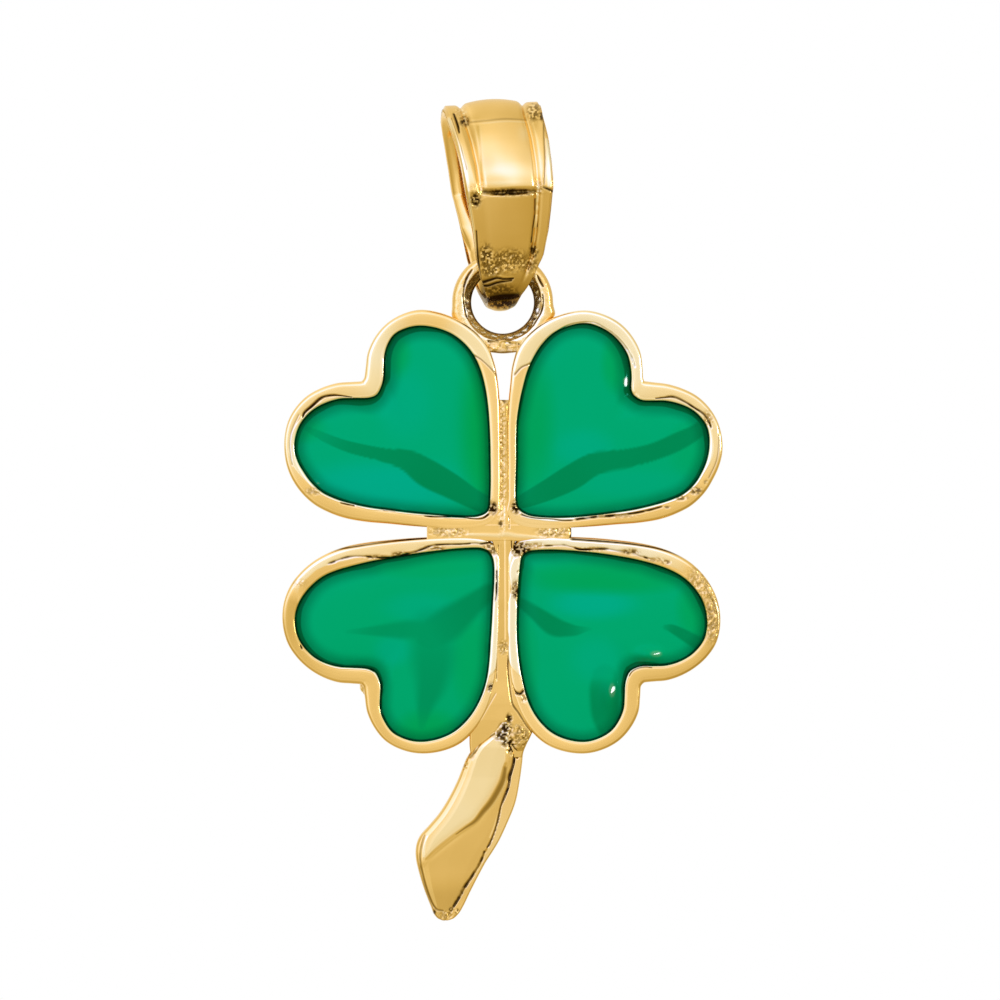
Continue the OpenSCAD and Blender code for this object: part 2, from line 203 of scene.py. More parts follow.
def worked(x, z, lines, pits, seed):
    """What scored lines and pits leave: depth cut, dark of stains and painted shade, painted light, and grain."""
    crumbs, dashes = lumps(in_plane(x, z), CRUMB, seed), lumps(in_plane(x, z), DASH, seed + 1)
    cut, stain_and_shade, sheen, grain = (np.zeros(np.shape(x)) for _ in range(4))
    for points, depth, dark, pale, broken in lines:
        points = smooth_line(points, LINE_STEPS)
        away, _, along = from_line(x, z, points[:, :2])
        near = np.exp(-(away / np.interp(along, np.arange(len(points)), points[:, 2])) ** 2)
        near = near * (1 - broken * ramp(dashes, -0.25, 0.25))
        stain_and_shade = np.maximum(stain_and_shade, np.minimum(LINE_STAIN_SHADE * dark * near, 1))
        cut, sheen = cut + depth * near, sheen + (pale - LINE_DULL * dark) * near
    for *oval, depth, dark, pale, rough in pits:
        near = spot(x, z, *oval)
        cut = cut + depth * near * (0.4 - 0.2 * crumbs)
        stain_and_shade = np.maximum(stain_and_shade, near * np.maximum(dark * ramp(-crumbs, -0.4, 0.1), dark - PIT_DARK))
        sheen = sheen + near * (pale * ramp(crumbs, 0.1, 0.5) - PIT_DULL * dark * ramp(-crumbs, -0.3, 0.1))
        grain = np.maximum(grain, rough * near)
    return cut, stain_and_shade, sheen, grain


def cast(name, grid, material, rows_close=True, **marks):
    """A solid piece from a grid of points: rows of closed sections, with flat ends where the rows don't close."""
    rows, cols = grid.shape[:2]
    points = grid.reshape(-1, 3)
    row, col = np.arange(rows if rows_close else rows - 1)[:, None], np.arange(cols)[None, :]
    next_row, next_col = (row + 1) % rows, (col + 1) % cols
    quads = np.stack([row * cols + col, row * cols + next_col, next_row * cols + next_col, next_row * cols + col], -1)
    quads = quads.reshape(-1, 4)
    corners = points[quads]
    volume = sum(np.einsum("ij,ij->", corners[:, 0], np.cross(corners[:, i], corners[:, i + 1])) for i in (1, 2))
    faces = quads.tolist()
    if not rows_close:
        faces += [list(range(cols))[::-1], list(range((rows - 1) * cols, rows * cols))]
    if volume < 0:
        faces = [f[::-1] for f in faces]
    mesh = bpy.data.meshes.new(name)
    mesh.from_pydata((points * MM).tolist(), [], faces)
    mesh.polygons.foreach_set("use_smooth", np.ones(len(faces), bool))
    for key, value in marks.items():
        value = np.broadcast_to(value, grid.shape[:2]).ravel().astype(np.float32)
        mesh.attributes.new(key, "FLOAT", "POINT").data.foreach_set("value", value)
    mesh.materials.append(material)
    piece = bpy.data.objects.new(name, mesh)
    bpy.context.scene.collection.objects.link(piece)
    return piece


def of_clover(piece):
    """A gold piece of the clover's one casting."""
    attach(piece, "clover")
    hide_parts("clover_frame")


def plain_material(name):
    """A new material, its node tree and its shader."""
    material = bpy.data.materials.new(name)
    material.use_nodes = True
    return material, material.node_tree, material.node_tree.nodes["Principled BSDF"]


def put(tree, kind, inputs, **settings):
    """A shader node: its inputs are set to values or joined to other nodes, and its outputs come back."""
    node = tree.nodes.new("ShaderNode" + kind)
    for key, value in settings.items():
        setattr(node, key, value)
    for key, value in inputs.items():
        if isinstance(value, bpy.types.NodeSocket):
            tree.links.new(value, node.inputs[key])
        else:
            node.inputs[key].default_value = value
    return node.outputs


def maths(tree, kind, *values):
    return put(tree, "Math", dict(enumerate(values)), operation=kind)[0]


def mark(tree, key):
    """The strength of one of the marks that cast() leaves on a piece."""
    return put(tree, "Attribute", {}, attribute_name=key)["Fac"]


def noise(tree, size_mm, detail):
    place = put(tree, "TexCoord", {})["Object"]
    return put(tree, "TexNoise", {"Vector": place, "Scale": 1 / (size_mm * MM), "Detail": detail})["Fac"]


def blend(tree, factor, a, b):
    """Colour a, or colour b where the factor is 1."""
    return put(tree, "Mix", {0: factor, 6: a, 7: b}, data_type="RGBA")[2]


def strip(tree, value, stops, low, high, interpolation="LINEAR"):
    """The colour or brightness that the stops give to a value from 0 to 1, with their own places from low to high."""
    node = tree.nodes.new("ShaderNodeValToRGB")
    node.color_ramp.interpolation = interpolation
    elements = node.color_ramp.elements
    for place, tone in stops:
        end = {low: 0, high: -1}.get(place)
        element = elements.new((place - low) / (high - low)) if end is None else elements[end]
        element.color = (*tone, 1) if isinstance(tone, tuple) else (tone, tone, tone, 1)
    tree.links.new(value, node.inputs[0])
    return node.outputs[0]


# Gold from its deepest painted shade to its palest painted highlight: sheen, colour; and the dark of stain and shade
GOLD_TONES = [(-1.0, (0.43, 0.27, 0.054)), (-0.5, (0.757, 0.53, 0.165)), (0.0, (0.97, 0.71, 0.29)),
              (0.5, (1.0, 0.88, 0.58)), (1.0, (1.0, 1.0, 0.89))]
STAIN_SHADE_COLOUR = (0.022, 0.009, 0.002, 1)
# The casting's grain: its size, how much it tones, roughens and lifts the metal; and the plain metal's own unevenness
GRAIN_MM, GRAIN_TONE, GRAIN_ROUGH, GRAIN_LIFT, GRAIN_HEIGHT = 0.045, 2.2, 0.14, 0.7, 0.02
CLOUD_TONE, HAZE_MM, HAZE_ROUGH, PLAIN_LIFT = 0.3, 0.5, 0.05, 0.02


def gold_metal(name, roughness, cloud_mm):
    """Cast gold: highlight and shade painted by one mark, rough and pitted by grain, dark with stains and painted
    shade.
    """
    metal, tree, shader = plain_material(name)
    shader.inputs["Metallic"].default_value = 1.0
    grain, fine = mark(tree, "grain"), noise(tree, GRAIN_MM, 3)
    clouds = maths(tree, "MULTIPLY", maths(tree, "SUBTRACT", noise(tree, cloud_mm, 2), 0.5), CLOUD_TONE)
    specks = maths(tree, "MULTIPLY", grain, maths(tree, "SUBTRACT", fine, 0.5))
    tone = maths(tree, "ADD", mark(tree, "sheen"), clouds)
    tone = maths(tree, "ADD", tone, maths(tree, "MULTIPLY", specks, GRAIN_TONE))
    clean = strip(tree, maths(tree, "MULTIPLY_ADD", tone, 0.5, 0.5), GOLD_TONES, -1, 1)
    tree.links.new(blend(tree, mark(tree, "dark"), clean, STAIN_SHADE_COLOUR), shader.inputs["Base Color"])
    haze = maths(tree, "MULTIPLY", noise(tree, HAZE_MM, 4), HAZE_ROUGH)
    rough = maths(tree, "ADD", haze, maths(tree, "MULTIPLY", grain, GRAIN_ROUGH))
    tree.links.new(maths(tree, "ADD", rough, roughness), shader.inputs["Roughness"])
    lift = maths(tree, "MULTIPLY_ADD", grain, GRAIN_LIFT, PLAIN_LIFT)
    bump = put(tree, "Bump", {"Distance": GRAIN_HEIGHT * MM, "Strength": lift, "Height": fine})
    tree.links.new(bump["Normal"], shader.inputs["Normal"])
    return metal


gold = gold_metal("cast_gold", 0.11, 2.5)

# Section of a rim: share of its width from the window outwards, share of half its depth
RIM_FACE = [
    (0.00, 0.45), (0.00, 0.80), (0.02, 0.92), (0.07, 0.965), (0.16, 0.985), (0.30, 0.995), (0.50, 1.00),
    (0.68, 0.998), (0.82, 0.985), (0.91, 0.95), (0.965, 0.88), (0.99, 0.76), (1.00, 0.50), (1.00, 0.25)]
RIM_BACK = [(1.00, -0.20), (1.00, -0.70), (0.96, -0.86), (0.85, -0.95), (0.50, -1.00), (0.15, -0.95),
            (0.04, -0.86), (0.00, -0.70), (0.00, -0.20)]
# Highlight and shade painted on each rim's face as sheen: row of the window's table, the lip's width, sheen of the
# lip, the body and the outer edge, and where the outer edge starts as a share of the width
RIM_PAINTED_LIGHT = {
    "upper_left": [
        (0, .05, .5, .12, .0, .9), (2, .04, .3, .08, 0, .9), (3.2, .04, .3, .08, 0, .9), (4.6, .03, .3, .1, .1, .9),
        (5.3, .03, .3, 0, 0, .85), (6.3, .03, .3, .15, .1, .8), (7.2, .03, .4, .6, .3, .8),
        (8, .03, .5, .7, .3, .85), (9, .03, .5, .5, .1, .85), (11, .03, .5, .3, .1, .85), (12, .1, .45, .2, .1, .85),
        (13, .12, .45, .25, .1, .85), (13.8, .1, .6, .35, .2, .85), (14.5, .18, .8, .5, .4, .8),
        (15.5, .16, .85, .4, .2, .8), (16.3, .1, .85, .05, -.1, .8), (17, .07, .9, -.1, -.2, .85),
        (18, .06, .9, -.15, -.25, .85), (20, .06, .95, -.02, -.1, .85), (21.5, .06, .9, .1, 0, .9),
        (22.5, .06, .8, .12, 0, .9)],
    "upper_right": [
        (0, .05, .5, .15, 0, .9), (2, .04, .4, .1, 0, .9), (3.2, .04, .4, .08, 0, .9), (4.6, .03, .4, .1, .1, .9),
        (5.6, .05, .4, .75, .4, .88), (6.5, .06, .4, .75, .4, .88), (8, .06, .5, .75, .35, .88),
        (9, .06, .6, .65, .25, .88), (10, .06, .6, .5, .2, .85), (11, .08, .45, .4, .1, .85),
        (12, .1, .45, .3, .1, .85), (13, .12, .5, .3, .1, .85), (14, .1, .7, .45, .2, .85),
        (15, .14, .75, .4, .2, .8), (15.8, .12, .85, .2, 0, .8), (16.5, .09, .9, -.05, -.2, .8),
        (17.5, .08, .9, -.15, -.2, .85), (19, .08, .95, -.08, -.1, .85), (20.5, .12, .95, .1, .15, .85),
        (21.5, .1, .95, .15, .1, .9), (22.5, .06, .8, .15, 0, .9)],
    "lower_left": [
        (0, .26, .85, .1, 0, .95), (1.5, .27, .85, 0, 0, .95), (2.6, .25, .8, 0, 0, .95),
        (2.9, .05, .7, .25, .1, .95), (4, .05, .75, .1, 0, .9), (5, .05, .8, 0, -.1, .88),
        (6, .04, .6, -.1, -.2, .85), (7, .03, .4, -.2, -.25, .85), (8, .03, .4, -.15, -.2, .85),
        (9, .04, .6, -.15, -.2, .85), (9.8, .07, .85, -.2, -.2, .85),
        (11, .06, .85, -.15, -.2, .85), (12.5, .06, .85, -.2, -.25, .85), (13.3, .03, .5, -.35, -.3, .85),
        (14.5, .02, .2, -.45, -.2, .85), (15.5, .02, .2, -.45, .1, .8), (16.2, .28, -.2, .5, 0, .9),
        (17, .25, -.1, .6, 0, .9), (18, .2, 0, .4, 0, .9), (19, .16, .3, .3, -.2, .92),
        (20.5, .15, .35, .45, -.2, .92), (21.5, .13, .4, .9, 0, .95), (22.5, .2, .7, .8, 0, .95)],
    "lower_right": [
        (0, .28, .85, .1, 0, .95), (1.5, .28, .85, .1, 0, .95), (2.6, .27, .8, .1, 0, .95),
        (2.95, .03, .7, .15, .1, .95), (4, .04, .7, .05, 0, .9), (5, .04, .7, 0, -.1, .88),
        (6, .04, .6, -.1, -.2, .85), (7, .03, .5, -.15, -.25, .85), (8, .03, .4, -.15, -.25, .85),
        (9, .05, .8, -.2, -.25, .85),
        (10, .07, .9, -.2, -.2, .85), (11, .06, .9, -.2, -.25, .85), (12, .04, .6, -.25, -.3, .85),
        (13.3, .03, .4, -.25, -.35, .85), (14.5, .02, .2, -.4, -.1, .82), (15.5, .02, .2, -.4, 0, .82),
        (16.5, .05, .1, -.25, .1, .85), (17.3, .15, -.1, .3, 0, .88), (18.2, .16, .1, .75, 0, .9),
        (19.5, .15, .35, .9, -.3, .9), (21, .14, .4, .9, -.1, .92), (22, .15, .6, .9, 0, .95),
        (22.6, .25, .8, .85, 0, .95)]}
# Lines scored along the rims: the points of each with half its width, then its depth, stain and painted shade,
# painted sheen, and how broken it is. Every table of lines below reads like this, and every table of pits like the
# one after it.
RIM_LINES = {
    "upper_left": [
        ([(-5.65, -9, 0.021), (-5.61, -8.89, 0.033), (-5.38, -8.68, 0.036), (-5.07, -8.42, 0.033),
          (-4.74, -8.35, 0.024), (-4.46, -8.37, 0.015), (-4.18, -8.41, 0.009)], 0.06, 1, 0, 0.15),
        ([(-5.77, -8.94, 0.024), (-5.99, -9.45, 0.024), (-6.04, -9.9, 0.024),
          (-5.97, -10.44, 0.021)], 0.012, 0.25, 0, 0),
        ([(-4.5, -11.58, 0.021), (-4.12, -11.66, 0.021)], 0.03, 0.8, 0, 0.5),
        ([(-3.25, -11.8, 0.015), (-2.9, -11.83, 0.015)], 0.02, 0.6, 0, 0.4),
        ([(-1.99, -11.97, 0.015), (-1.67, -11.99, 0.024), (-0.97, -11.99, 0.021), (-0.53, -12.05, 0.015),
          (-0.26, -12.04, 0.021), (-0.1, -11.93, 0.027)], 0.04, 0.9, 0, 0.25),
        ([(-0.61, -7.12, 0.024), (-0.3, -7.29, 0.021), (0.14, -7.73, 0.021),
          (0.23, -7.87, 0.021)], 0.02, 0.5, 0, 0)],
    "upper_right": [
        ([(1.33, -7.16, 0.015), (1.57, -6.85, 0.015), (1.84, -6.57, 0.018), (2.12, -6.34, 0.018),
          (2.54, -6.19, 0.021), (3.07, -6.18, 0.024), (3.34, -6.31, 0.027), (3.69, -6.55, 0.03),
          (4, -6.9, 0.036), (4.21, -7.26, 0.033), (4.29, -7.49, 0.021)], 0.025, 0.25, 0.5, 0.3),
        ([(0.7, -7.73, 0.024), (0.91, -7.51, 0.024), (1.2, -7.38, 0.021),
          (1.33, -7.16, 0.018)], 0.02, 0.5, 0, 0),
        ([(4.91, -8.45, 0.012), (5.18, -8.42, 0.021), (5.45, -8.4, 0.03), (5.76, -8.53, 0.03),
          (6.11, -8.75, 0.027), (6.37, -8.93, 0.036), (6.5, -9.14, 0.036),
          (6.58, -9.32, 0.018)], 0.045, 0.9, 0, 0.3),
        ([(0.91, -11.93, 0.03), (1.06, -11.98, 0.018), (1.31, -12.03, 0.015), (1.83, -12.06, 0.015),
          (2.08, -12.1, 0.021), (2.41, -12.1, 0.021)], 0.03, 0.7, 0, 0.1),
        ([(2.54, -12.07, 0.03), (3.07, -12, 0.033), (3.46, -11.97, 0.033), (3.86, -11.94, 0.033),
          (4.25, -11.89, 0.027), (4.7, -11.8, 0.024), (5.1, -11.69, 0.018)], 0.045, 1, 0, 0.6),
        ([(6.8, -9.33, 0.018), (6.8, -9.9, 0.021), (6.73, -10.35, 0.024),
          (6.51, -10.83, 0.024)], 0.01, 0.3, 0, 0)],
    "lower_left": [
        ([(-4.88, -13.4, 0.024), (-4.43, -13.23, 0.024), (-4.08, -13.17, 0.024), (-3.6, -13.19, 0.024),
          (-3.34, -13.23, 0.03), (-2.94, -13.2, 0.039), (-2.53, -13.11, 0.039), (-2.1, -12.98, 0.033),
          (-1.78, -12.85, 0.024), (-1.36, -12.82, 0.021), (-0.83, -12.81, 0.021), (-0.49, -12.78, 0.021),
          (-0.28, -12.8, 0.027), (-0.01, -12.75, 0.027), (0.16, -12.74, 0.024)], 0.04, 1, 0, 0.55),
        ([(-5.62, -13.47, 0.015), (-5.21, -13.18, 0.018), (-4.74, -13, 0.024), (-4, -12.87, 0.027),
          (-3.11, -12.74, 0.03), (-2.44, -12.67, 0.03), (-1.97, -12.63, 0.03)], 0.03, 0.6, 0, 0.1),
        ([(-1.81, -12.97, 0.018), (-1.6, -12.93, 0.018), (-1.44, -12.97, 0.018)], 0.02, 0.6, 0, 0.2),
        ([(0.16, -13.62, 0.024), (0.15, -14.19, 0.03), (0.13, -14.49, 0.024)], 0.02, 1, 0, 0.7),
        ([(-5.72, -15.85, 0.021), (-5.68, -15.93, 0.024)], 0.03, 0.8, 0, 0),
        ([(-3.63, -16.56, 0.018), (-3.52, -16.62, 0.018)], 0.02, 0.7, 0, 0)],
    "lower_right": [
        ([(2.41, -12.66, 0.036), (2.8, -12.69, 0.033), (3.34, -12.73, 0.033), (4.21, -12.81, 0.027),
          (5.1, -12.97, 0.024), (5.8, -13.23, 0.021), (6.25, -13.53, 0.015)], 0.03, 0.75, 0, 0.1),
        ([(1.45, -12.88, 0.018), (1.83, -12.85, 0.021), (2.19, -12.85, 0.024), (2.45, -12.91, 0.027),
          (2.65, -12.97, 0.027), (2.9, -12.97, 0.03), (3.23, -12.95, 0.03), (3.55, -12.97, 0.027),
          (3.86, -13.03, 0.036), (4.21, -13.07, 0.045), (4.48, -13.18, 0.033),
          (4.83, -13.27, 0.021)], 0.045, 1, 0, 0.7),
        ([(6.43, -14.13, 0.015), (6.58, -14.43, 0.021), (6.71, -14.73, 0.021), (6.76, -15.12, 0.021),
          (6.74, -15.48, 0.015)], 0.012, 0.4, 0, 0.1),
        ([(6.63, -14.37, 0.018), (6.78, -14.76, 0.021), (6.82, -15.15, 0.018)], 0, 0, 0.6, 0),
        ([(0.61, -17.03, 0.021), (0.66, -17.18, 0.03), (0.75, -17.27, 0.036), (0.87, -17.29, 0.036),
          (0.95, -17.21, 0.03)], 0.05, 1, 0, 0),
        ([(4.12, -16.77, 0.015), (4.21, -16.63, 0.018), (4.39, -16.53, 0.018), (4.63, -16.49, 0.018),
          (4.81, -16.51, 0.012)], 0.02, 0.6, 0, 0)]}
# Pits and rough patches: X, Z, reach in X and in Z, depth, stain and painted shade, painted sheen and grain
RIM_PITS = {
    "upper_left": [
        (0.03, -11.73, 0.15, 0.2, 0.05, 1.15, 0, 1), (-5.33, -11.23, 0.24, 0.12, 0.01, 0.35, 0.1, 0.7)],
    "upper_right": [
        (0.73, -11.71, 0.16, 0.2, 0.05, 1.05, 0.05, 1), (5.71, -11.43, 0.18, 0.09, 0.03, 0.7, 0.2, 0.8),
        (3.61, -11.96, 0.72, 0.07, 0.015, 0.35, 0.3, 0.8), (6.13, -11.21, 0.18, 0.12, 0.035, 0.8, 0.2, 0.9),
        (6.43, -10.96, 0.07, 0.07, 0.03, 0.6, 0.1, 0.7), (5.26, -11.71, 0.09, 0.04, 0.02, 0.6, 0.2, 0.5),
        (6.48, -9.06, 0.15, 0.24, 0.02, 0.45, 0.4, 0.8), (4.27, -8.37, 0.12, 0.12, 0.01, 0.1, 0.6, 0.6)],
    "lower_left": [
        (0, -12.95, 0.26, 0.2, 0.05, 0.75, 0.3, 1), (0.16, -12.9, 0.07, 0.15, 0.06, 1.2, 0, 1),
        (0, -17.11, 0.14, 0.14, 0.05, 1.3, 0.2, 1), (-2.69, -13.12, 0.3, 0.09, 0.04, 0.8, 0.5, 0.9),
        (-1.75, -12.91, 0.36, 0.09, 0.02, 0.4, 0.45, 0.8), (-3.46, -13.2, 0.36, 0.07, 0.02, 0.7, 0.2, 0.8),
        (-5.75, -13.98, 0.24, 0.12, 0.005, 0.15, 0.2, 0.5)],
    "lower_right": [
        (0.91, -12.96, 0.32, 0.22, 0.05, 1.1, 0, 1), (0.72, -12.96, 0.1, 0.22, 0.05, 1.2, 0, 1),
        (1.36, -12.84, 0.24, 0.09, 0.03, 0.4, 0.5, 0.7), (0.72, -14.19, 0.12, 0.27, 0.05, 1.1, 0.1, 1),
        (0.81, -14.55, 0.07, 0.14, 0.05, 1.1, 0.1, 1), (0.79, -13.65, 0.04, 0.04, 0.02, 0.9, 0, 0.5),
        (0.97, -17.43, 0.09, 0.15, 0.03, 0.5, 0.6, 1), (4.16, -13.04, 0.27, 0.09, 0.04, 0.8, 0.3, 0.9),
        (5.23, -13.35, 0.15, 0.07, 0.03, 0.7, 0.2, 0.7), (6.25, -14.04, 0.42, 0.66, 0.006, 0.3, 0.15, 0.7),
        (6.61, -15.03, 0.24, 0.72, 0.008, 0.42, 0.15, 0.8), (3.01, -12.96, 0.48, 0.07, 0.015, 0.4, 0.4, 0.8),
        (4.91, -13.28, 0.27, 0.07, 0.02, 0.4, 0.4, 0.8)]}
# Facets, painted paler as highlight, where the polished rims run up to the ring: line they start from, rows where
# they fade
FACETS = {"upper_left": [(-0.9, -6.9), (-0.61, -7.12), (-0.3, -7.29), (0.14, -7.73), (0.26, -7.95)],
          "upper_right": [(0.68, -7.95), (0.7, -7.73), (0.91, -7.51), (1.2, -7.38), (1.33, -7.16), (1.84, -6.57)]}
FACET_SHEEN, FACET_EDGE, FACET_ROWS = 0.45, (-0.01, 0.02), ((2.7, 3.2), (4.6, 5.6))
# Where the upper rims are filed flat beside the web: rows of the window's table, shares of the rim's width
FILED_ROWS, FILED_FROM, FILED_TO = ((19.3, 20.3), (22.4, 22.9)), (0.6, 0.8), 0.98
# How soft the lip's edge and the outer edge's inner line are, how far the lip stands up, how wavy its edge is
LIP_SOFT, EDGE_SOFT, LIP_RISE, LIP_WAVY = 0.012, (0.06, 0.05), 0.012, (0.3, 0.5, 2)
# The line of painted shade in the crevice along the resin: strength, width, and the size and seed of its gaps
RESIN_LINE, RESIN_LINE_W, RESIN_LINE_GAPS = 0.55, 0.018, (0.16, 4)
# Sheen that the rough patches lose, and the bumps of a rim's rough and plain face
ROUGH_DULL, RIM_ROUGH, RIM_PLAIN = 0.8, (0.02, 0.07, 9), (0.006, 0.9, 11)
RIM_SEED = 7


def between(x, rise, fall):
    """1 after the first ramp and 0 again after the second."""
    return ramp(x, *rise) - ramp(x, *fall)


rim_section = np.vstack([smooth_line(RIM_FACE, 4), smooth_line(RIM_BACK, 2)])
rim_across, rim_height = rim_section[:, 0], rim_section[:, 1] * rim_half
on_face = ramp(rim_section[:, 1], 0.5, 0.8)
for leaf in LEAVES:
    edge, out, wide, turn = window_line(leaf)
    x, z = (edge[:, i:i + 1] + out[:, i:i + 1] * rim_across * wide for i in (0, 1))
    flat = in_plane(x, z)
    rows = np.array(RIM_PAINTED_LIGHT[leaf])
    lip, lip_sheen, body_sheen, edge_sheen, edge_start = (
        np.interp(turn, rows[:, 0], rows[:, i], period=len(WINDOW))[:, None] for i in range(1, 6))
    lip = lip * (1 + bumpy(flat[:, :1], LIP_WAVY))
    in_lip = 1 - ramp(rim_across * wide, lip - LIP_SOFT, lip + LIP_SOFT)
    in_edge = ramp(rim_across, edge_start - EDGE_SOFT[0], edge_start + EDGE_SOFT[1])
    cut, stain_and_shade, sheen, grain = worked(x, z, RIM_LINES[leaf], RIM_PITS[leaf], RIM_SEED)
    rim_painted_light = body_sheen + (lip_sheen - body_sheen) * in_lip + (edge_sheen - body_sheen) * in_edge * (1 - in_lip)
    sheen = sheen + rim_painted_light * (1 - ROUGH_DULL * grain)
    filed_flat = 0
    if leaf in FACETS:
        facet = ramp(past_line(x, z, FACETS[leaf]), *FACET_EDGE)
        sheen = sheen + FACET_SHEEN * facet * between(turn, *FACET_ROWS)[:, None]
        filed = ramp(rim_across, *FILED_FROM) * (rim_across < FILED_TO)
        filed_flat = between(turn, *FILED_ROWS)[:, None] * (rim_half - rim_height) * filed
    resin_line = RESIN_LINE * np.exp(-(rim_across * wide / RESIN_LINE_W) ** 2)
    stain_and_shade = np.maximum(stain_and_shade, resin_line * (1 - ramp(lumps(flat, *RESIN_LINE_GAPS), -0.1, 0.5)))
    height = rim_height + on_face * (
        filed_flat + LIP_RISE * in_lip * lip_sheen - cut + grain * bumpy(flat, RIM_ROUGH) + bumpy(flat, RIM_PLAIN))
    grid = np.stack([x, -height, z], -1)
    of_clover(cast("rim_" + leaf, grid, gold, grain=grain * on_face, dark=stain_and_shade * on_face, sheen=sheen * on_face))

# The web, which joins the four leaves: a plate of the same casting that fills the gaps between the rims, left rough
# from the mould at its ends and in its channel, and filed smooth where the four leaves meet and above the stem.
# Rows of the upright plate: its height, left edge and right edge; and of the one across: place, upper, lower edge
WEB_UPRIGHT = [
    (-8.49, -0.015, 0.705), (-11.49, 0.015, 0.69), (-11.73, 0.045, 0.66), (-11.88, 0.03, 0.675), (-12, -0.03, 0.75),
    (-12.12, -0.165, 0.885), (-12.225, -0.345, 1.065), (-12.36, -0.435, 1.155), (-12.57, -0.135, 0.825),
    (-12.84, 0.06, 0.675), (-16.14, 0.045, 0.615), (-16.92, 0.015, 0.645), (-17.28, -0.075, 0.735),
    (-17.61, -0.285, 0.885), (-18, -0.555, 1.155), (-18.24, -0.69, 1.275), (-18.54, -0.66, 1.185),
    (-18.78, -0.66, 1.065), (-18.99, -0.645, 0.975), (-19.2, -0.615, 0.915)]
WEB_ACROSS = [
    (-1.935, -12.195, -12.735), (-1.095, -12.195, -12.735), (-0.195, -12.195, -12.735), (0.705, -12.195, -12.735),
    (1.605, -12.195, -12.735), (2.235, -12.195, -12.735), (2.355, -12.255, -12.675), (2.391, -12.345, -12.585)]
# Points across each plate, and how far its back lies behind the middle plane
UPRIGHT_POINTS, UPRIGHT_BACK, ACROSS_POINTS, ACROSS_BACK = 73, 0.4, 31, 0.38
# Height of the upright plate below the rims' faces: Z, height
WEB_HEIGHTS = [(-19.3, -0.15), (-18.9, -0.11), (-18.5, -0.07), (-18.1, -0.03), (-17.6, -0.02), (-16.9, -0.03),
               (-12.9, -0.03), (-12.6, -0.018), (-12.1, -0.018), (-11.5, -0.045), (-8.3, -0.06)]
# Sheen painted on the upright plate as highlight and shade: Z, sheen; and the height and painted sheen of the plate
# across
WEB_SHEEN = [(-20, -0.25), (-17.6, -0.2), (-17.0, -0.15), (-16.2, -0.1), (-15.8, -0.35), (-12.95, -0.3),
             (-12.6, -0.02), (-11.9, 0.02), (-11.4, -0.45), (-8.3, -0.6)]
ACROSS_HEIGHT, ACROSS_SHEEN = -0.014, -0.05
# Rounding of a plate's edges, space between its points, steps to each row of its table, and how coarse its back is
EDGE_ROUND, PLATE_STEP, ROW_STEPS, BACK_STEP = 0.05, 0.025, 16, 6
WEB_LINES = [
    ([(-0.7, -12.53, 0.042), (-0.16, -12.54, 0.054), (0.21, -12.55, 0.066), (0.42, -12.51, 0.078),
      (0.76, -12.56, 0.06), (1.06, -12.58, 0.048), (1.6, -12.63, 0.03)], -0.006, 0, 0.5, 0),
    ([(0.23, -8.49, 0.021), (0.21, -9.69, 0.021), (0.16, -10.89, 0.021),
      (0.15, -11.64, 0.021)], 0.03, 0.5, 0, 0.2),
    ([(0.38, -8.64, 0.021), (0.38, -9.99, 0.024), (0.39, -11.49, 0.024),
      (0.4, -12.39, 0.021)], -0.005, 0, 0.5, 0.2),
    ([(0.48, -8.64, 0.018), (0.51, -9.69, 0.018), (0.53, -11.49, 0.018),
      (0.53, -12.33, 0.015)], 0.02, 0.35, 0, 0.2),
    ([(0.41, -12.69, 0.021), (0.42, -14.49, 0.024), (0.42, -15.69, 0.021)], -0.005, 0, 0.45, 0),
    ([(0.6, -12.72, 0.018), (0.6, -13.59, 0.018), (0.58, -14.49, 0.018), (0.53, -15.69, 0.018),
      (0.49, -16.5, 0.021), (0.52, -16.92, 0.024), (0.56, -17.25, 0.027), (0.63, -17.61, 0.027),
      (0.81, -17.87, 0.024), (1.03, -18.23, 0.021), (1.23, -18.49, 0.018)], 0.03, 0.55, 0, 0.1),
    ([(0.21, -12.84, 0.015), (0.2, -14.49, 0.015), (0.17, -15.69, 0.015),
      (0.15, -16.89, 0.018)], 0.02, 0.35, 0, 0.2),
    ([(0.12, -17.29, 0.024), (-0.07, -17.61, 0.03), (-0.3, -18, 0.03),
      (-0.49, -18.24, 0.027)], 0.008, 0.12, 0, 0),
    ([(2.36, -12.36, 0.027), (2.38, -12.51, 0.027), (2.35, -12.66, 0.027)], 0.04, 0.7, 0, 0)]
# Pits where the stem leaves the web, and the web's own
NECK_PITS = [(0.53, -18.03, 0.09, 0.15, 0.06, 1, 0.5, 1), (0.43, -18.33, 0.21, 0.18, 0.06, 1, 0.5, 1),
             (0.34, -18.54, 0.27, 0.18, 0.06, 1, 0.5, 1)]
WEB_PITS = [
    (-1.3, -12.43, 0.57, 0.15, 0.02, 0.35, 0.3, 1), (1.84, -12.45, 0.48, 0.15, 0.02, 0.45, 0.25, 1),
    (0.27, -12.2, 0.07, 0.1, 0.03, 0.8, 0.1, 0.8), (0.36, -15.91, 0.14, 0.21, 0.02, 0.3, 0.5, 0.9),
    (0.3, -10.29, 0.14, 2.04, 0.02, 0.12, 0.65, 1), (0.34, -8.52, 0.12, 0.09, 0.02, 0.5, 0.2, 0.8),
    *NECK_PITS, (0.49, -18.75, 0.24, 0.18, 0.06, 1, 0.5, 1), (0.89, -18.54, 0.24, 0.36, 0.008, 0.2, 0.15, 0.8)]
WEB_SEED, WEB_ROUGH, WEB_PLAIN = 17, (0.025, 0.06, 23), (0.004, 0.4, 24)


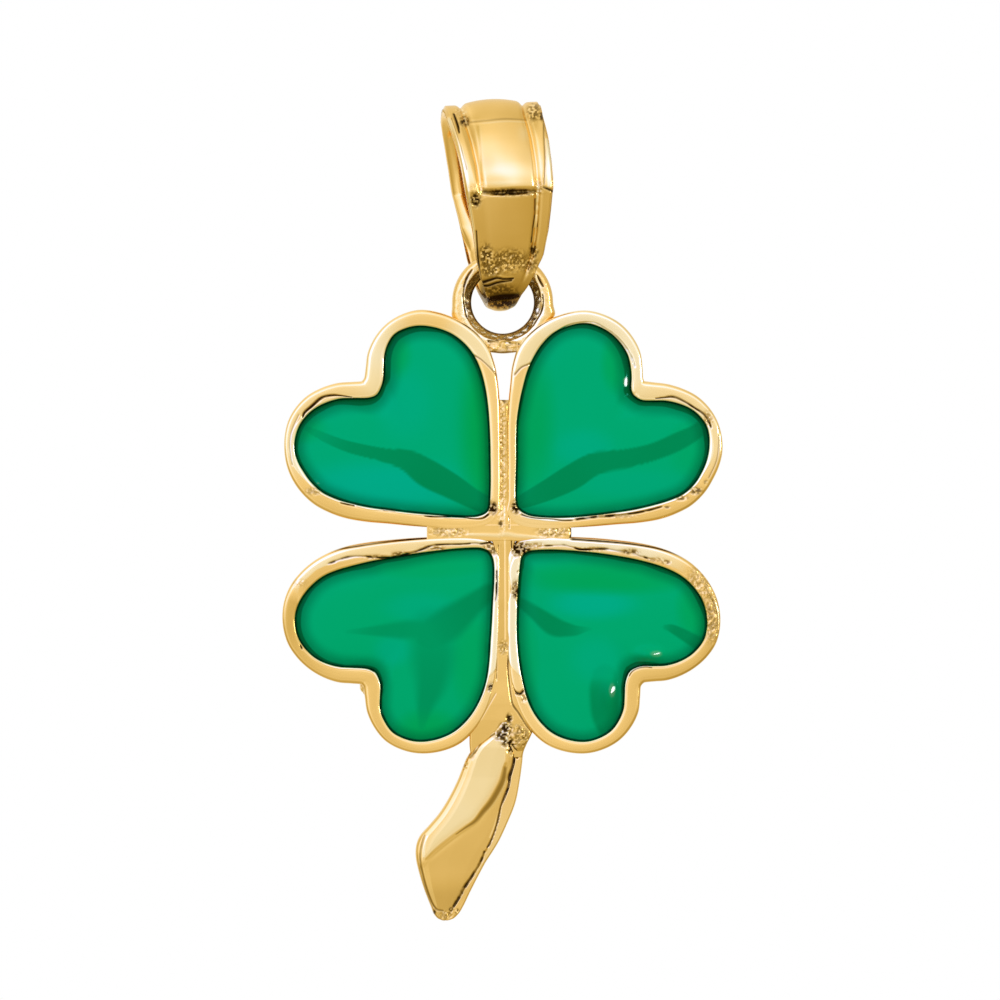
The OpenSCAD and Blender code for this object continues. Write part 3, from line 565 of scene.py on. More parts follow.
def plate(rows, count):
    """A plate from rows of edge points: its places in X and Z, and how far its front falls at its rounded edges."""
    rows = smooth_line(rows, ROW_STEPS)
    middle = rows[:, :2] + rows[:, 2:]
    gone = np.append(0, np.cumsum(np.hypot(*np.diff(middle, axis=0).T) / 2))
    even = np.linspace(0, gone[-1], int(gone[-1] / PLATE_STEP))
    rows = np.stack([np.interp(even, gone, column) for column in rows.T], -1)
    share = np.linspace(0, 1, count)
    x = rows[:, :1] + (rows[:, 2:3] - rows[:, :1]) * share
    z = rows[:, 1:2] + (rows[:, 3:4] - rows[:, 1:2]) * share
    wide = np.hypot(rows[:, 2] - rows[:, 0], rows[:, 3] - rows[:, 1])[:, None]
    near = np.clip(EDGE_ROUND - np.minimum(share, 1 - share) * wide, 0, EDGE_ROUND)
    return x, z, EDGE_ROUND - np.sqrt(EDGE_ROUND ** 2 - near ** 2)


def cast_plate(name, x, z, height, back, **marks):
    """A gold plate: its front with its marks, its sides, and a coarser flat back."""
    rear = slice(None, None, -BACK_STEP)
    middle = (height[:, [-1, 0]] - back) / 2
    x, z = (np.hstack([v, v[:, -1:], v[:, rear], v[:, :1]]) for v in (x, z))
    behind = np.full(height[:, rear].shape, -back)
    grid = np.stack([x, -np.hstack([height, middle[:, :1], behind, middle[:, 1:]]), z], -1)
    plain = grid.shape[1] - height.shape[1]
    marks = {key: np.pad(np.broadcast_to(v, height.shape), ((0, 0), (0, plain))) for key, v in marks.items()}
    of_clover(cast(name, grid, gold, rows_close=False, **marks))


def crossing(rows):
    """The edge points of a plate that runs across, from its places, upper and lower edges."""
    return [(place, upper, place, lower) for place, upper, lower in rows]


upright = [(left, level, right, level) for level, left, right in WEB_UPRIGHT]
for name, rows, count, back in (("web_upright", upright, UPRIGHT_POINTS, UPRIGHT_BACK),
                                ("web_across", crossing(WEB_ACROSS), ACROSS_POINTS, ACROSS_BACK)):
    x, z, fall = plate(rows, count)
    flat = in_plane(x, z)
    cut, stain_and_shade, sheen, grain = worked(x, z, WEB_LINES, WEB_PITS, WEB_SEED)
    level, tone = ACROSS_HEIGHT, ACROSS_SHEEN
    if name == "web_upright":
        level, tone = (np.interp(z, *zip(*table)) for table in (WEB_HEIGHTS, WEB_SHEEN))
    height = rim_half + level - fall - cut + grain * bumpy(flat, WEB_ROUGH) + bumpy(flat, WEB_PLAIN)
    cast_plate(name, x, z, height, back, grain=grain, dark=stain_and_shade, sheen=sheen + tone)

# A lump of spilled metal fills the corner outside the lower left leaf's notch. It is left rough, as it was cast.
# Its place, its reach each way, how bumpy and grainy it is, stain and painted shade in its hollows, and its painted
# sheen
LUMP, LUMP_REACH, LUMP_OPEN = (-3.7, 0, -17.06), (0.25, 0.45, 0.28), 0.05
LUMP_BUMPS, LUMP_HEIGHT, LUMP_GRAIN, LUMP_STAIN_SHADE, LUMP_SHEEN = (0.09, 27), 0.12, 0.6, 0.6, (0.4, 0.1)
from_front = np.linspace(LUMP_OPEN, np.pi - LUMP_OPEN, 40)[:, None]
round_it = np.linspace(0, 2 * np.pi, 60, endpoint=False)[None, :]
ball = np.stack([np.sin(from_front) * np.cos(round_it), -np.cos(from_front) + 0 * round_it,
                 np.sin(from_front) * np.sin(round_it)], -1)
bumps = lumps(LUMP + ball * LUMP_REACH, *LUMP_BUMPS)
ball = LUMP + ball * LUMP_REACH * (1 + LUMP_HEIGHT * bumps[..., None])
of_clover(cast("notch_lump", ball, gold, rows_close=False, grain=LUMP_GRAIN, dark=LUMP_STAIN_SHADE * ramp(-bumps, 0.1, 0.6),
               sheen=LUMP_SHEEN[0] * bumps + LUMP_SHEEN[1]))

# The fixed ring on top of the leaves, cast in one with them. Its outer face is polished, its hole is left rough from
# the mould, and highlight and shade are painted across both, with a line of painted shade between the two. A short
# rough bar under it fills the corner between the leaves.
RING_HOLE, RING_METAL, RING_HALF, RING_RISE = 0.94, 0.57, 0.4, 6.90
# Section from the hole outwards: share of the metal's width, share of half its depth
RING_SECTION = [
    (0.00, -0.20), (0.00, 0.20), (0.02, 0.34), (0.07, 0.46), (0.16, 0.60), (0.26, 0.74), (0.35, 0.86),
    (0.42, 0.96), (0.52, 1.00), (0.66, 1.00), (0.80, 0.97), (0.89, 0.88), (0.95, 0.74), (0.99, 0.52), (1.00, 0.20),
    (1.00, -0.50), (0.92, -0.75), (0.72, -0.97), (0.50, -1.00), (0.30, -0.97), (0.10, -0.75), (0.01, -0.50)]
# Highlight and shade painted as sheen from the hole outwards: share of the metal's width, sheen
RING_SHEEN = [(0.0, -1.0), (0.05, -0.75), (0.09, 0.9), (0.28, 1.0), (0.35, 0.5), (0.39, 0.1), (0.45, 0.75),
              (0.55, 0.5), (0.66, 0.15), (0.82, 0.1), (0.93, -0.1), (1.0, -0.2)]
# Where solder widens it: degrees round the ring, width, spread in degrees
RING_FLARES = [(195, 0.06, 7), (347, 0.10, 7)]
RING_LINES = [
    ([(-0.58, -4.59, 0.018), (-0.73, -4.83, 0.027), (-0.82, -5.1, 0.024)], 0.06, 1, 0, 0.3),
    ([(-0.81, -5.13, 0.018), (-0.85, -5.4, 0.018), (-0.82, -5.67, 0.018),
      (-0.73, -6.03, 0.015)], 0.04, 0.9, 0, 0.4),
    ([(1.37, -4.77, 0.018), (1.45, -4.92, 0.027), (1.54, -5.08, 0.021)], 0.06, 1, 0, 0.1),
    ([(1.53, -5.34, 0.018), (1.54, -5.64, 0.021), (1.47, -5.88, 0.018),
      (1.24, -6.27, 0.012)], 0.04, 0.7, 0, 0.1),
    ([(-0.1, -6.73, 0.03), (0.18, -6.76, 0.03)], 0.04, 1, 0, 0.5),
    ([(0.55, -6.78, 0.03), (0.81, -6.82, 0.03)], 0.04, 1, 0, 0.5)]
# The rough band round the hole: share of the width where it ends; the ring's bumps, their height on all of it and
# what the band adds; the band's painted sheen, the grain of all of it and what the band adds, and the stain and
# painted shade of its hollows
HOLE_BAND, RING_BUMPS, RING_UNEVEN = (0.34, 0.40), ((0.55, 0.15, 41), (0.45, 0.08, 42)), (0.008, 0.025)
BAND_SHEEN, BAND_GRAIN, BAND_STAIN_SHADE = 0.5, (0.3, 0.3), 0.2
# The painted shade line at the hole's edge: strength, width; and the share of the section's rows that make its front
HOLE_LINE, HOLE_LINE_W = 0.75, 0.07
RING_FRONT, RING_SEED = 0.7, 37
ring_rows = smooth_line(RING_SECTION, 4, closed=True)
metal_share, metal_depth = ring_rows.T
angle = np.arange(0, 360, 1.0)
flare = sum(size * np.exp(-((angle - at) / spread) ** 2) for at, size, spread in RING_FLARES)
around = np.radians(angle)[:, None]
reach = RING_HOLE + metal_share * (RING_METAL + flare[:, None])
x = middle_x + reach * np.cos(around)
z = middle_z + RING_RISE + reach * np.sin(around)
flat = np.stack([x, np.broadcast_to(metal_depth * RING_HALF, x.shape), z], -1)
front = ramp(metal_depth, 0.0, 0.3) * (np.arange(len(ring_rows)) < len(ring_rows) * RING_FRONT)
cut, stain_and_shade, sheen, grain = worked(x, z, RING_LINES, (), RING_SEED)
inner = 1 - ramp(metal_share, *HOLE_BAND)
bumps = bumpy(flat, *RING_BUMPS)
height = flat[..., 1] + front * ((RING_UNEVEN[0] + inner * RING_UNEVEN[1]) * bumps - cut)
hole_line = HOLE_LINE * np.exp(-(metal_share / HOLE_LINE_W) ** 2)
sheen = sheen + np.interp(metal_share, *zip(*RING_SHEEN)) + inner * BAND_SHEEN * bumps
of_clover(cast("ring", np.stack([x, -height, z], -1), gold, grain=front * (BAND_GRAIN[0] + BAND_GRAIN[1] * inner),
               dark=np.clip(stain_and_shade + hole_line + BAND_STAIN_SHADE * inner * ramp(-bumps, 0, 0.5), 0, 1) * front,
               sheen=sheen * front))

# Rows of the bar: place, upper edge, lower edge; then its bumps, height over the ring, grain, stain and shade, sheen
BAR_ROWS = [(-0.075, -6.72, -7.05), (0.135, -6.69, -7.08), (0.345, -6.675, -7.095), (0.555, -6.69, -7.08),
            (0.795, -6.72, -7.05)]
BAR_POINTS, BAR_BACK, BAR_RISE, BAR_ROUND = 31, 0.3, 0.02, 2
BAR_BUMPS, BAR_UNEVEN, BAR_GRAIN, BAR_SHEEN = ((0.6, 0.13, 51), (0.4, 0.07, 52)), 0.05, 0.5, (0.9, -0.25)
# Stain and painted shade in the bar's hollows, and a painted shadow along its lower edge: strength, and -Z where it
# grows
BAR_STAIN_SHADE, BAR_SHADE, BAR_SHADED = 0.55, 0.6, (6.93, 7.08)
x, z, fall = plate(crossing(BAR_ROWS), BAR_POINTS)
bumps = bumpy(in_plane(x, z), *BAR_BUMPS)
height = RING_HALF + BAR_RISE - BAR_ROUND * fall + BAR_UNEVEN * bumps
cast_plate("ring_bar", x, z, height, BAR_BACK, grain=BAR_GRAIN,
           dark=np.maximum(BAR_STAIN_SHADE * ramp(-bumps, 0, 0.5), BAR_SHADE * ramp(-z, *BAR_SHADED)),
           sheen=BAR_SHEEN[0] * bumps + BAR_SHEEN[1])

# The stem, the last part of the casting: a polished S-shaped tongue that starts between the lower leaves, with a
# long dent across its face, an undercut narrow flange along its right edge, and a thin rim round its blunt foot.
# Rows down the stem: X and Z of its left edge, X and Z of its right edge
STEM_ROWS = [
    (0.255, -18.15, 0.915, -18.15), (0.075, -18.36, 1.155, -18.36), (-0.165, -18.615, 1.155, -18.6),
    (-0.525, -18.915, 1.02, -18.81), (-0.729, -19.2, 0.954, -19.05), (-0.849, -19.47, 0.915, -19.41),
    (-1.017, -19.899, 0.843, -19.92), (-1.299, -20.46, 0.711, -20.58), (-1.581, -20.904, 0.471, -21.183),
    (-1.89, -21.27, 0.228, -21.705), (-2.145, -21.564, 0.03, -22.035), (-2.256, -21.84, -0.174, -22.35),
    (-2.271, -22.2, -0.345, -22.665), (-2.181, -22.632, -0.495, -22.953), (-2.022, -23.154, -0.66, -23.28),
    (-1.821, -23.676, -0.84, -23.655), (-1.74, -23.88, -0.975, -23.88), (-1.62, -24.03, -1.137, -24.036),
    (-1.485, -24.09, -1.29, -24.093)]
STEM_POINTS, STEM_BACK, STEM_ROUND = 109, 0.5, 2
# Height of its face above the middle plane: Z, height; and how it falls off to both edges: share of the width, share
STEM_RISE = [(-25, 0.48), (-24.0, 0.49), (-22.5, 0.52), (-21.0, 0.56), (-19.8, 0.60), (-18.9, 0.65), (-18.5, 0.656),
             (-18.15, 0.64)]
STEM_FACE = [(0.0, 0.74), (0.04, 0.89), (0.10, 0.955), (0.2, 0.985), (0.5, 1.0), (0.8, 0.995), (1.0, 0.95)]
STEM_LINES = [
    ([(0.43, -19.44, 0.075), (0.32, -19.89, 0.12), (0.16, -20.22, 0.135), (-0.04, -20.55, 0.135),
      (-0.26, -20.82, 0.135), (-0.49, -21.11, 0.135), (-0.78, -21.31, 0.135), (-1.06, -21.51, 0.12),
      (-1.42, -21.79, 0.105), (-1.7, -22.03, 0.09), (-1.93, -22.26, 0.06)], 0.016, 0, -0.3, 0),
    ([(0.4, -19.53, 0.06), (0.32, -19.89, 0.09), (0.16, -20.22, 0.096), (-0.04, -20.55, 0.09),
      (-0.26, -20.82, 0.072), (-0.49, -21.11, 0.048), (-0.78, -21.31, 0.027),
      (-1.06, -21.51, 0.012)], 0.008, 0.15, -0.6, 0),
    ([(0.7, -19.02, 0.03), (0.64, -19.44, 0.03), (0.53, -19.8, 0.036), (0.51, -20.04, 0.024),
      (0.38, -20.4, 0.027), (0.28, -20.67, 0.018), (0.22, -20.94, 0.024), (0.14, -21.27, 0.015),
      (-0.01, -21.69, 0.018), (-0.12, -21.9, 0.018)], 0.08, 1, 0, 0.25),
    ([(0.21, -20.82, 0.018), (0.1, -21.21, 0.021), (-0.05, -21.6, 0.021)], 0, 0, 0.7, 0),
    ([(-0.21, -22.03, 0.03), (-0.33, -22.35, 0.039), (-0.53, -22.68, 0.039), (-0.77, -23.04, 0.045),
      (-0.97, -23.39, 0.045), (-1.14, -23.67, 0.03)], 0.03, 0.75, 0, 0.55),
    ([(-2.01, -21.54, 0.021), (-2.1, -21.91, 0.024), (-2.14, -22.29, 0.024), (-2.06, -22.74, 0.024),
      (-1.9, -23.29, 0.024), (-1.66, -23.75, 0.024), (-1.45, -23.8, 0.018)], 0.03, 0.35, 0, 0.1),
    ([(-1.93, -21.57, 0.024), (-2.01, -21.87, 0.036), (-2.03, -22.17, 0.027)], 0, 0, 0.6, 0),
    ([(-0.65, -19.2, 0.024), (-0.49, -19.05, 0.024), (-0.3, -18.75, 0.027),
      (0.09, -18.49, 0.024)], 0.025, 0.5, 0, 0.3),
    ([(0.58, -18.84, 0.03), (0.69, -19.02, 0.039), (0.77, -19.2, 0.03)], 0.1, 1, 0, 0)]
STEM_PITS = [
    (-1.72, -23.85, 0.06, 0.07, 0.03, 0.8, 0, 0.8), (-1.21, -23.76, 0.07, 0.06, 0.03, 0.8, 0.2, 0.8),
    (-1.03, -23.82, 0.07, 0.07, 0.03, 0.7, 0.2, 0.8), (-0.6, -18.99, 0.12, 0.24, 0.015, 0.55, 0.1, 0.8),
    (-0.78, -19.38, 0.07, 0.21, 0.01, 0.4, 0.1, 0.7), *NECK_PITS, (0.49, -18.75, 0.21, 0.15, 0.06, 1, 0.5, 1),
    (0.61, -18.93, 0.14, 0.21, 0.06, 1, 0.5, 1), (0.89, -18.54, 0.24, 0.36, 0.008, 0.45, 0.15, 0.8),
    (-1.36, -23.94, 0.27, 0.12, 0.01, 0.2, 0.2, 0.7)]
# The dent's line parts the face painted lit from the one painted in shade; the undercut's line parts both from the
# flange
DENT, UNDERCUT = STEM_LINES[0][0], STEM_LINES[2][0] + STEM_LINES[4][0]
DENT_RUNS_ON = (0.15, 2.0), (-0.9, -0.9)
# Painted sheen: lit above the dent, shaded below it, on the flange; where it darkens along the left edge and towards
# the foot
UPPER_SHEEN, LOWER_SHEEN, FLANGE_SHEEN = 0.45, -0.4, 0.1
EDGE_DARK, EDGE_DARK_SHARE, FOOT_DARK, FOOT_DARK_FROM = 0.6, (0.03, 0.22), 0.25, (22.6, 23.4)
# How soft the dent and the undercut are, where the flange starts, and how far the lower face and the flange drop
DENT_SOFT, UNDERCUT_SOFT, FLANGE_FROM, BELOW_DROP, FLANGE_DROP = 0.10, (-0.005, 0.02), (18.9, 19.1), 0.03, 0.10
STEM_SEED, STEM_ROUGH, STEM_PLAIN = 57, (0.03, 0.07, 59), (0.004, 0.8, 60)
x, z, fall = plate(STEM_ROWS, STEM_POINTS)
flat = in_plane(x, z)
share = np.linspace(0, 1, STEM_POINTS)
cut, stain_and_shade, sheen, grain = worked(x, z, STEM_LINES, STEM_PITS, STEM_SEED)
dent = smooth_line(np.array(DENT)[:, :2], LINE_STEPS)
dent = np.vstack([dent[:1] + DENT_RUNS_ON[0], dent, dent[-1:] + DENT_RUNS_ON[1]])
below = ramp(past_line(x, z, dent), -DENT_SOFT, DENT_SOFT)
flange = ramp(past_line(x, z, np.array(UNDERCUT)[:, :2]), *UNDERCUT_SOFT) * ramp(-z, *FLANGE_FROM)
tone = UPPER_SHEEN + (LOWER_SHEEN - UPPER_SHEEN) * below
tone = tone - EDGE_DARK * (1 - ramp(share, *EDGE_DARK_SHARE)) * (1 - below)
tone = tone + (FLANGE_SHEEN - tone) * flange - FOOT_DARK * ramp(-z, *FOOT_DARK_FROM)
height = np.interp(z, *zip(*STEM_RISE)) * np.interp(share, *zip(*STEM_FACE)) - STEM_ROUND * fall - cut
height = height - FLANGE_DROP * flange - BELOW_DROP * below
height = height + grain * bumpy(flat, STEM_ROUGH) + bumpy(flat, STEM_PLAIN)
cast_plate("stem", x, z, height, STEM_BACK, grain=grain, dark=stain_and_shade, sheen=sheen + tone)

# The resin in the leaves: glossy green see-through resin poured into each window and domed a little in front. It is
# painted darkest beside the walls, as the shade they throw into it, and dark reflections are painted in as soft
# folds.
# From the clover's middle to each window's corner, and the window's size, which the shares below are taken of
WINDOW_GAP, WINDOW_SIZE = np.array([0.435, 0.56]), np.array([5.68, 5.62])
# The dome: share of the way from its peak to the wall, share of its height; the peak's place as shares of the window
DOME = [(1.00, 0.0), (0.97, 0.10), (0.93, 0.24), (0.86, 0.42), (0.72, 0.67), (0.55, 0.85), (0.30, 0.97), (0.02, 1.0)]
PEAK = (0.42, 0.42)
# Half its depth at the wall, the dome's rise in front and at the back, and how far it reaches under the rim's lip
RESIN_FACE, DOME_FRONT, DOME_BACK, UNDER_WALL = 0.43, 0.22, 0.10, 0.03
DOME_STEPS, BACK_ROWS = 9, 3
# The lamp's place in metres, and the small glossy swells left in the resin's face, each with a flank that faces the
# lamp at a place: X, Z, reach in X and in Z; how far out that flank is, and how small the gloss on it is
LAMP = (0.29, -0.24, 0.02)
SWELLS = {"upper_left": [(-5.2, -10.98, 0.06, 0.08)], "upper_right": [(4.03, -7.95, 0.18, 0.30)], "lower_left": [],
          "lower_right": [(3.615, -17.19, 0.20, 0.42), (4.935, -16.1, 0.36, 0.20)]}
FLANK, GLINT = 0.7, 2.2
# Dark reflections painted into the resin as soft folds, each along a line: place as shares of the window, half its
# width in millimetres, strength; then how soft its edge is
PAINTED_REFLECTIONS = {
    "upper_left": [([(1.0, 0.48, 0.03, 0.2), (0.92, 0.435, 0.10, 0.4), (0.73, 0.355, 0.17, 0.8),
                     (0.54, 0.31, 0.21, 0.9), (0.42, 0.28, 0.33, 0.95), (0.32, 0.215, 0.42, 1.0),
                     (0.20, 0.15, 0.38, 1.0), (0.08, 0.08, 0.30, 1.0), (-0.02, 0.03, 0.26, 1.0)], 0.10)],
    "upper_right": [([(1.02, 0.51, 0.20, 0.9), (0.95, 0.44, 0.22, 1.0), (0.85, 0.385, 0.27, 1.0),
                      (0.72, 0.33, 0.26, 1.0), (0.58, 0.295, 0.28, 0.95), (0.41, 0.265, 0.34, 0.95),
                      (0.29, 0.195, 0.38, 1.0), (0.17, 0.13, 0.32, 1.0), (0.04, 0.07, 0.22, 0.9),
                      (-0.02, 0.05, 0.15, 0.8)], 0.10)],
    "lower_left": [([(0.00, 0.22, 0.25, 0.9), (0.10, 0.30, 0.36, 0.9), (0.20, 0.38, 0.50, 0.8),
                     (0.30, 0.45, 0.55, 0.6)], 0.35),
                   ([(0.25, 0.42, 0.30, 0.5), (0.42, 0.42, 0.28, 0.6), (0.58, 0.425, 0.16, 0.6),
                     (0.74, 0.43, 0.05, 0.2)], 0.4),
                   ([(0.30, 0.42, 0.55, 0.4), (0.29, 0.56, 0.62, 0.6), (0.30, 0.70, 0.46, 0.7),
                     (0.33, 0.82, 0.26, 0.7), (0.35, 0.93, 0.10, 0.3)], 0.55)],
    "lower_right": [([(-0.02, 0.25, 0.10, 0.8), (0.09, 0.325, 0.20, 1.0), (0.19, 0.40, 0.28, 1.0),
                      (0.27, 0.42, 0.20, 0.9), (0.38, 0.415, 0.05, 0.2)], 0.25),
                    ([(0.78, 0.405, 0.07, 0.5), (0.85, 0.43, 0.15, 1.0), (0.97, 0.50, 0.21, 1.0)], 0.25),
                    ([(0.46, 0.67, 0.36, 0.2), (0.46, 0.76, 0.44, 0.9), (0.465, 0.86, 0.42, 1.0),
                      (0.49, 0.97, 0.30, 0.8)], 0.2)]}
# Places where the resin looks leafier, or bluer: shares of the window, reaches in both ways, strength
LEAFY = {
    "upper_left": [(0.0, 0.45, 0.15, 0.50, 1.0), (0.48, 0.85, 0.07, 0.12, 0.7), (0.98, 0.46, 0.12, 0.08, 0.6)],
    "upper_right": [(0.03, 0.50, 0.17, 0.42, 0.8), (0.52, 0.80, 0.08, 0.16, 0.7), (0.92, 0.35, 0.14, 0.16, 0.4),
                    (0.5, 0.5, 0.9, 0.9, 0.12)],
    "lower_left": [(0.08, 0.60, 0.13, 0.30, 0.6), (0.32, 0.97, 0.20, 0.14, 0.8), (0.35, 0.06, 0.40, 0.10, 0.6),
                   (0.5, 0.5, 0.9, 0.9, 0.25)],
    "lower_right": [(0.50, 0.14, 0.50, 0.10, 0.8), (0.95, 0.30, 0.12, 0.22, 0.7), (0.05, 0.60, 0.08, 0.30, 0.5),
                    (0.5, 0.5, 0.9, 0.9, 0.2)]}
BLUER = {
    "upper_left": [(0.55, 0.14, 0.45, 0.14, 0.8), (0.45, 0.60, 0.15, 0.20, 0.3)],
    "upper_right": [(0.35, 0.35, 0.16, 0.10, 0.5), (0.60, 0.16, 0.30, 0.08, 0.3)],
    "lower_left": [(0.35, 0.30, 0.20, 0.08, 0.5), (0.50, 0.53, 0.10, 0.08, 0.6)],
    "lower_right": [(0.40, 0.28, 0.22, 0.08, 1.0), (0.42, 0.58, 0.14, 0.12, 0.4)]}
# Width of the shade painted into the resin beside the wall: row of the window's table, width in millimetres
WALL_SHADE = {
    "upper_left": [(0, .05), (2, .06), (4, .10), (5, .10), (6, .15), (7, .22), (8, .20), (9, .14), (10, .16),
                   (11, .20), (13, .20), (14, .14), (15, .10), (17, .08), (19, .06), (23, .05)],
    "upper_right": [(0, .05), (1, .06), (2, .06), (3, .08), (4, .10), (5, .12), (6, .14), (7, .16), (8, .22),
                    (9, .24), (10, .20), (11, .14), (12, .14), (13, .18), (14, .18), (15, .10), (17, .08),
                    (20, .06), (23, .05)],
    "lower_left": [(0, .06), (3, .05), (6, .06), (8, .06), (9, .08), (10, .12), (11, .10), (12, .07), (14, .14),
                   (15, .18), (16, .14), (17, .14), (18, .16), (19, .14), (20, .08), (23, .06)],
    "lower_right": [(0, .08), (2, .06), (4, .06), (6, .06), (8, .07), (9, .12), (10, .20), (11, .16), (12, .08),
                    (13, .06), (14, .08), (15, .10), (16, .14), (18, .14), (20, .10), (23, .10)]}
# How uneven and soft that shade is, how strong and wide the paler painted shade past it is, and the darkest at the
# wall
SHADE_WAVY, SHADE_SOFT, HALO, HALO_REACH = (0.25, 0.6, 81), (0.85, 1.2), 0.52, 0.40
DARKEST, DARKEST_SOFT = 0.035, (0.4, 1.6)
# Colours of the resin: its two tones, then where it is bluer and leafier, and its painted reflections, shade and
# darkest shade
RESIN_TONES = (0.0, 0.43, 0.21, 1), (0.0, 0.41, 0.18, 1)
RESIN_MARKS = [("bluer", (0.0, 0.45, 0.31, 1)), ("leafy", (0.0, 0.38, 0.085, 1)), ("fold", (0.0, 0.265, 0.095, 1)),
               ("shade", (0.0, 0.12, 0.035, 1)), ("edge", (0.0, 0.02, 0.008, 1))]
RESIN_CLOUD, RESIN_ROUGH = 2.2, 0.06
# Gloss away from the swells, and its tint there
DULL_GLOSS, DULL_TINT = 0.12, (0.05, 1.0, 0.8, 1)


def spots(x, z, rows):
    """Strength at each place of round or oval spots: X, Z, reach in X, reach in Z, strength."""
    return np.max([strength * spot(x, z, *oval) for *oval, strength in rows], axis=0)


def swell_facing_lamp(x, z, height, place, reach):
    """Middle and height of a swell whose flank, at the place on the front given, faces half way to the lamp."""
    place, reach = np.array(place), np.array(reach)
    row, col = np.unravel_index(np.argmin(np.hypot(x - place[0], z - place[1])), x.shape)
    ends = (row + 1, col), (row - 1, col), (row, (col + 1) % x.shape[1]), (row, col - 1)
    points = np.array([(x[end], z[end], height[end]) for end in ends])
    along = points[::2] - points[1::2]
    slope = np.linalg.solve(along[:, :2], along[:, 2])
    lamp = np.array(LAMP) - np.array([place[0], 0, place[1]]) * MM
    lamp /= np.linalg.norm(lamp)
    turn = -lamp[[0, 2]] / (1 - lamp[1]) - slope
    off = -turn * reach ** 2
    off *= FLANK / np.linalg.norm(off / reach)
    rise = np.linalg.norm(turn) / np.linalg.norm(2 * off / reach ** 2) / np.exp(-FLANK ** 2)
    return place - off, rise


resin, tree, shader = plain_material("green_resin")
shader.inputs["Roughness"].default_value = RESIN_ROUGH
body = blend(tree, noise(tree, RESIN_CLOUD, 3), *RESIN_TONES)
for key, colour in RESIN_MARKS:
    body = blend(tree, mark(tree, key), body, colour)
tree.links.new(body, shader.inputs["Base Color"])
tree.links.new(maths(tree, "MULTIPLY_ADD", mark(tree, "gloss"), 1 - DULL_GLOSS, DULL_GLOSS),
               shader.inputs["Specular IOR Level"])
tree.links.new(blend(tree, mark(tree, "gloss"), DULL_TINT, (1, 1, 1, 1)), shader.inputs["Specular Tint"])

for leaf, ways in LEAVES.items():
    edge, out, _, turn = (part[::2] for part in window_line(leaf))
    corner = np.array([middle_x, middle_z]) + WINDOW_GAP * ways
    size = WINDOW_SIZE * ways
    peak = corner + np.array(PEAK) * size
    edge = edge + out * UNDER_WALL
    dome = smooth_line(DOME, DOME_STEPS)
    sunk = dome[::BACK_ROWS][::-1]
    front_x, front_z = np.moveaxis(peak + (edge - peak) * dome[:, 0, None, None], -1, 0)
    back_x, back_z = np.moveaxis(peak + (edge - peak) * sunk[:, 0, None, None], -1, 0)
    x, z = np.concatenate([back_x, front_x]), np.concatenate([back_z, front_z])
    face = (RESIN_FACE + dome[:, 1] * DOME_FRONT)[:, None] + 0 * front_x
    height = np.concatenate([(-RESIN_FACE - sunk[:, 1] * DOME_BACK)[:, None] + 0 * back_x, face])
    front = height > 0
    gloss = 0 * x
    for swell_x, swell_z, *reach in SWELLS[leaf]:
        middle, rise = swell_facing_lamp(front_x, front_z, face, (swell_x, swell_z), reach)
        height = height + rise * spot(x, z, *middle, *reach, steep=1) * front
        bright = spot(x, z, swell_x, swell_z, *(r / GLINT for r in reach), steep=1) * front
        gloss = np.maximum(gloss, ramp(bright, 0.1, 0.6))
    share_x, share_z = (x - corner[0]) / size[0], (z - corner[1]) / size[1]
    # The fold mark carries the painted dark reflections
    fold = np.zeros(x.shape)
    for line, soft in PAINTED_REFLECTIONS[leaf]:
        line = smooth_line(line, 2 * LINE_STEPS)
        away, _, along = from_line(x, z, corner + line[:, :2] * size)
        half, strength = (np.interp(along, np.arange(len(line)), line[:, i]) for i in (2, 3))
        fold = np.maximum(fold, strength * (1 - ramp(away, half * (1 - soft), half * (1 + soft))))
    wall = from_line(x, z, np.vstack([edge, edge[:1]])[::3])[0]
    reach = np.interp(turn, *zip(*WALL_SHADE[leaf])) * (1 + bumpy(in_plane(*edge.T), SHADE_WAVY)) + UNDER_WALL
    halo = HALO * (1 - ramp(wall, reach, reach + HALO_REACH))
    shade = np.maximum(1 - ramp(wall, reach * SHADE_SOFT[0], reach * SHADE_SOFT[1]), halo)
    darkest = 1 - ramp(wall, *(UNDER_WALL + DARKEST * soft for soft in DARKEST_SOFT))
    piece = cast("resin_" + leaf, np.stack([x, -height, z], -1), resin, rows_close=False, edge=darkest, gloss=gloss,
                 shade=shade * front, fold=fold * front, leafy=spots(share_x, share_z, LEAFY[leaf]) * front,
                 bluer=spots(share_x, share_z, BLUER[leaf]) * front)
    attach(piece, "clover")
    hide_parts("enamel_" + leaf)

# The bail: a tapered band of the same gold bent into a closed loop and soldered at its foot, which links through the
# ring and takes the chain at its top. A crease runs across it, grooves run beside its middle panel.
bail_metal = gold_metal("bail_gold", 0.12, 1.6)
# Its hollow's height and depth, its width on top and at the foot, the band's thickness there, how far below the seat
# the crease is, the foot's inner radius and how it grows, the lean, the turn, and the relief of its front
HOLLOW_H, HOLLOW_D = 4.94, 2.8
BAIL_W, FOOT_W = 2.92, 0.90
BAND, FOOT = 0.40, 0.85
CREASE, SEAT, FOOT_ROUND = 2.25, 0.601, 1.2
LEAN, TURN = np.radians(2.8), np.radians(7)
CROWN, GROOVE, BOW = 0.14, 0.10, 0.24
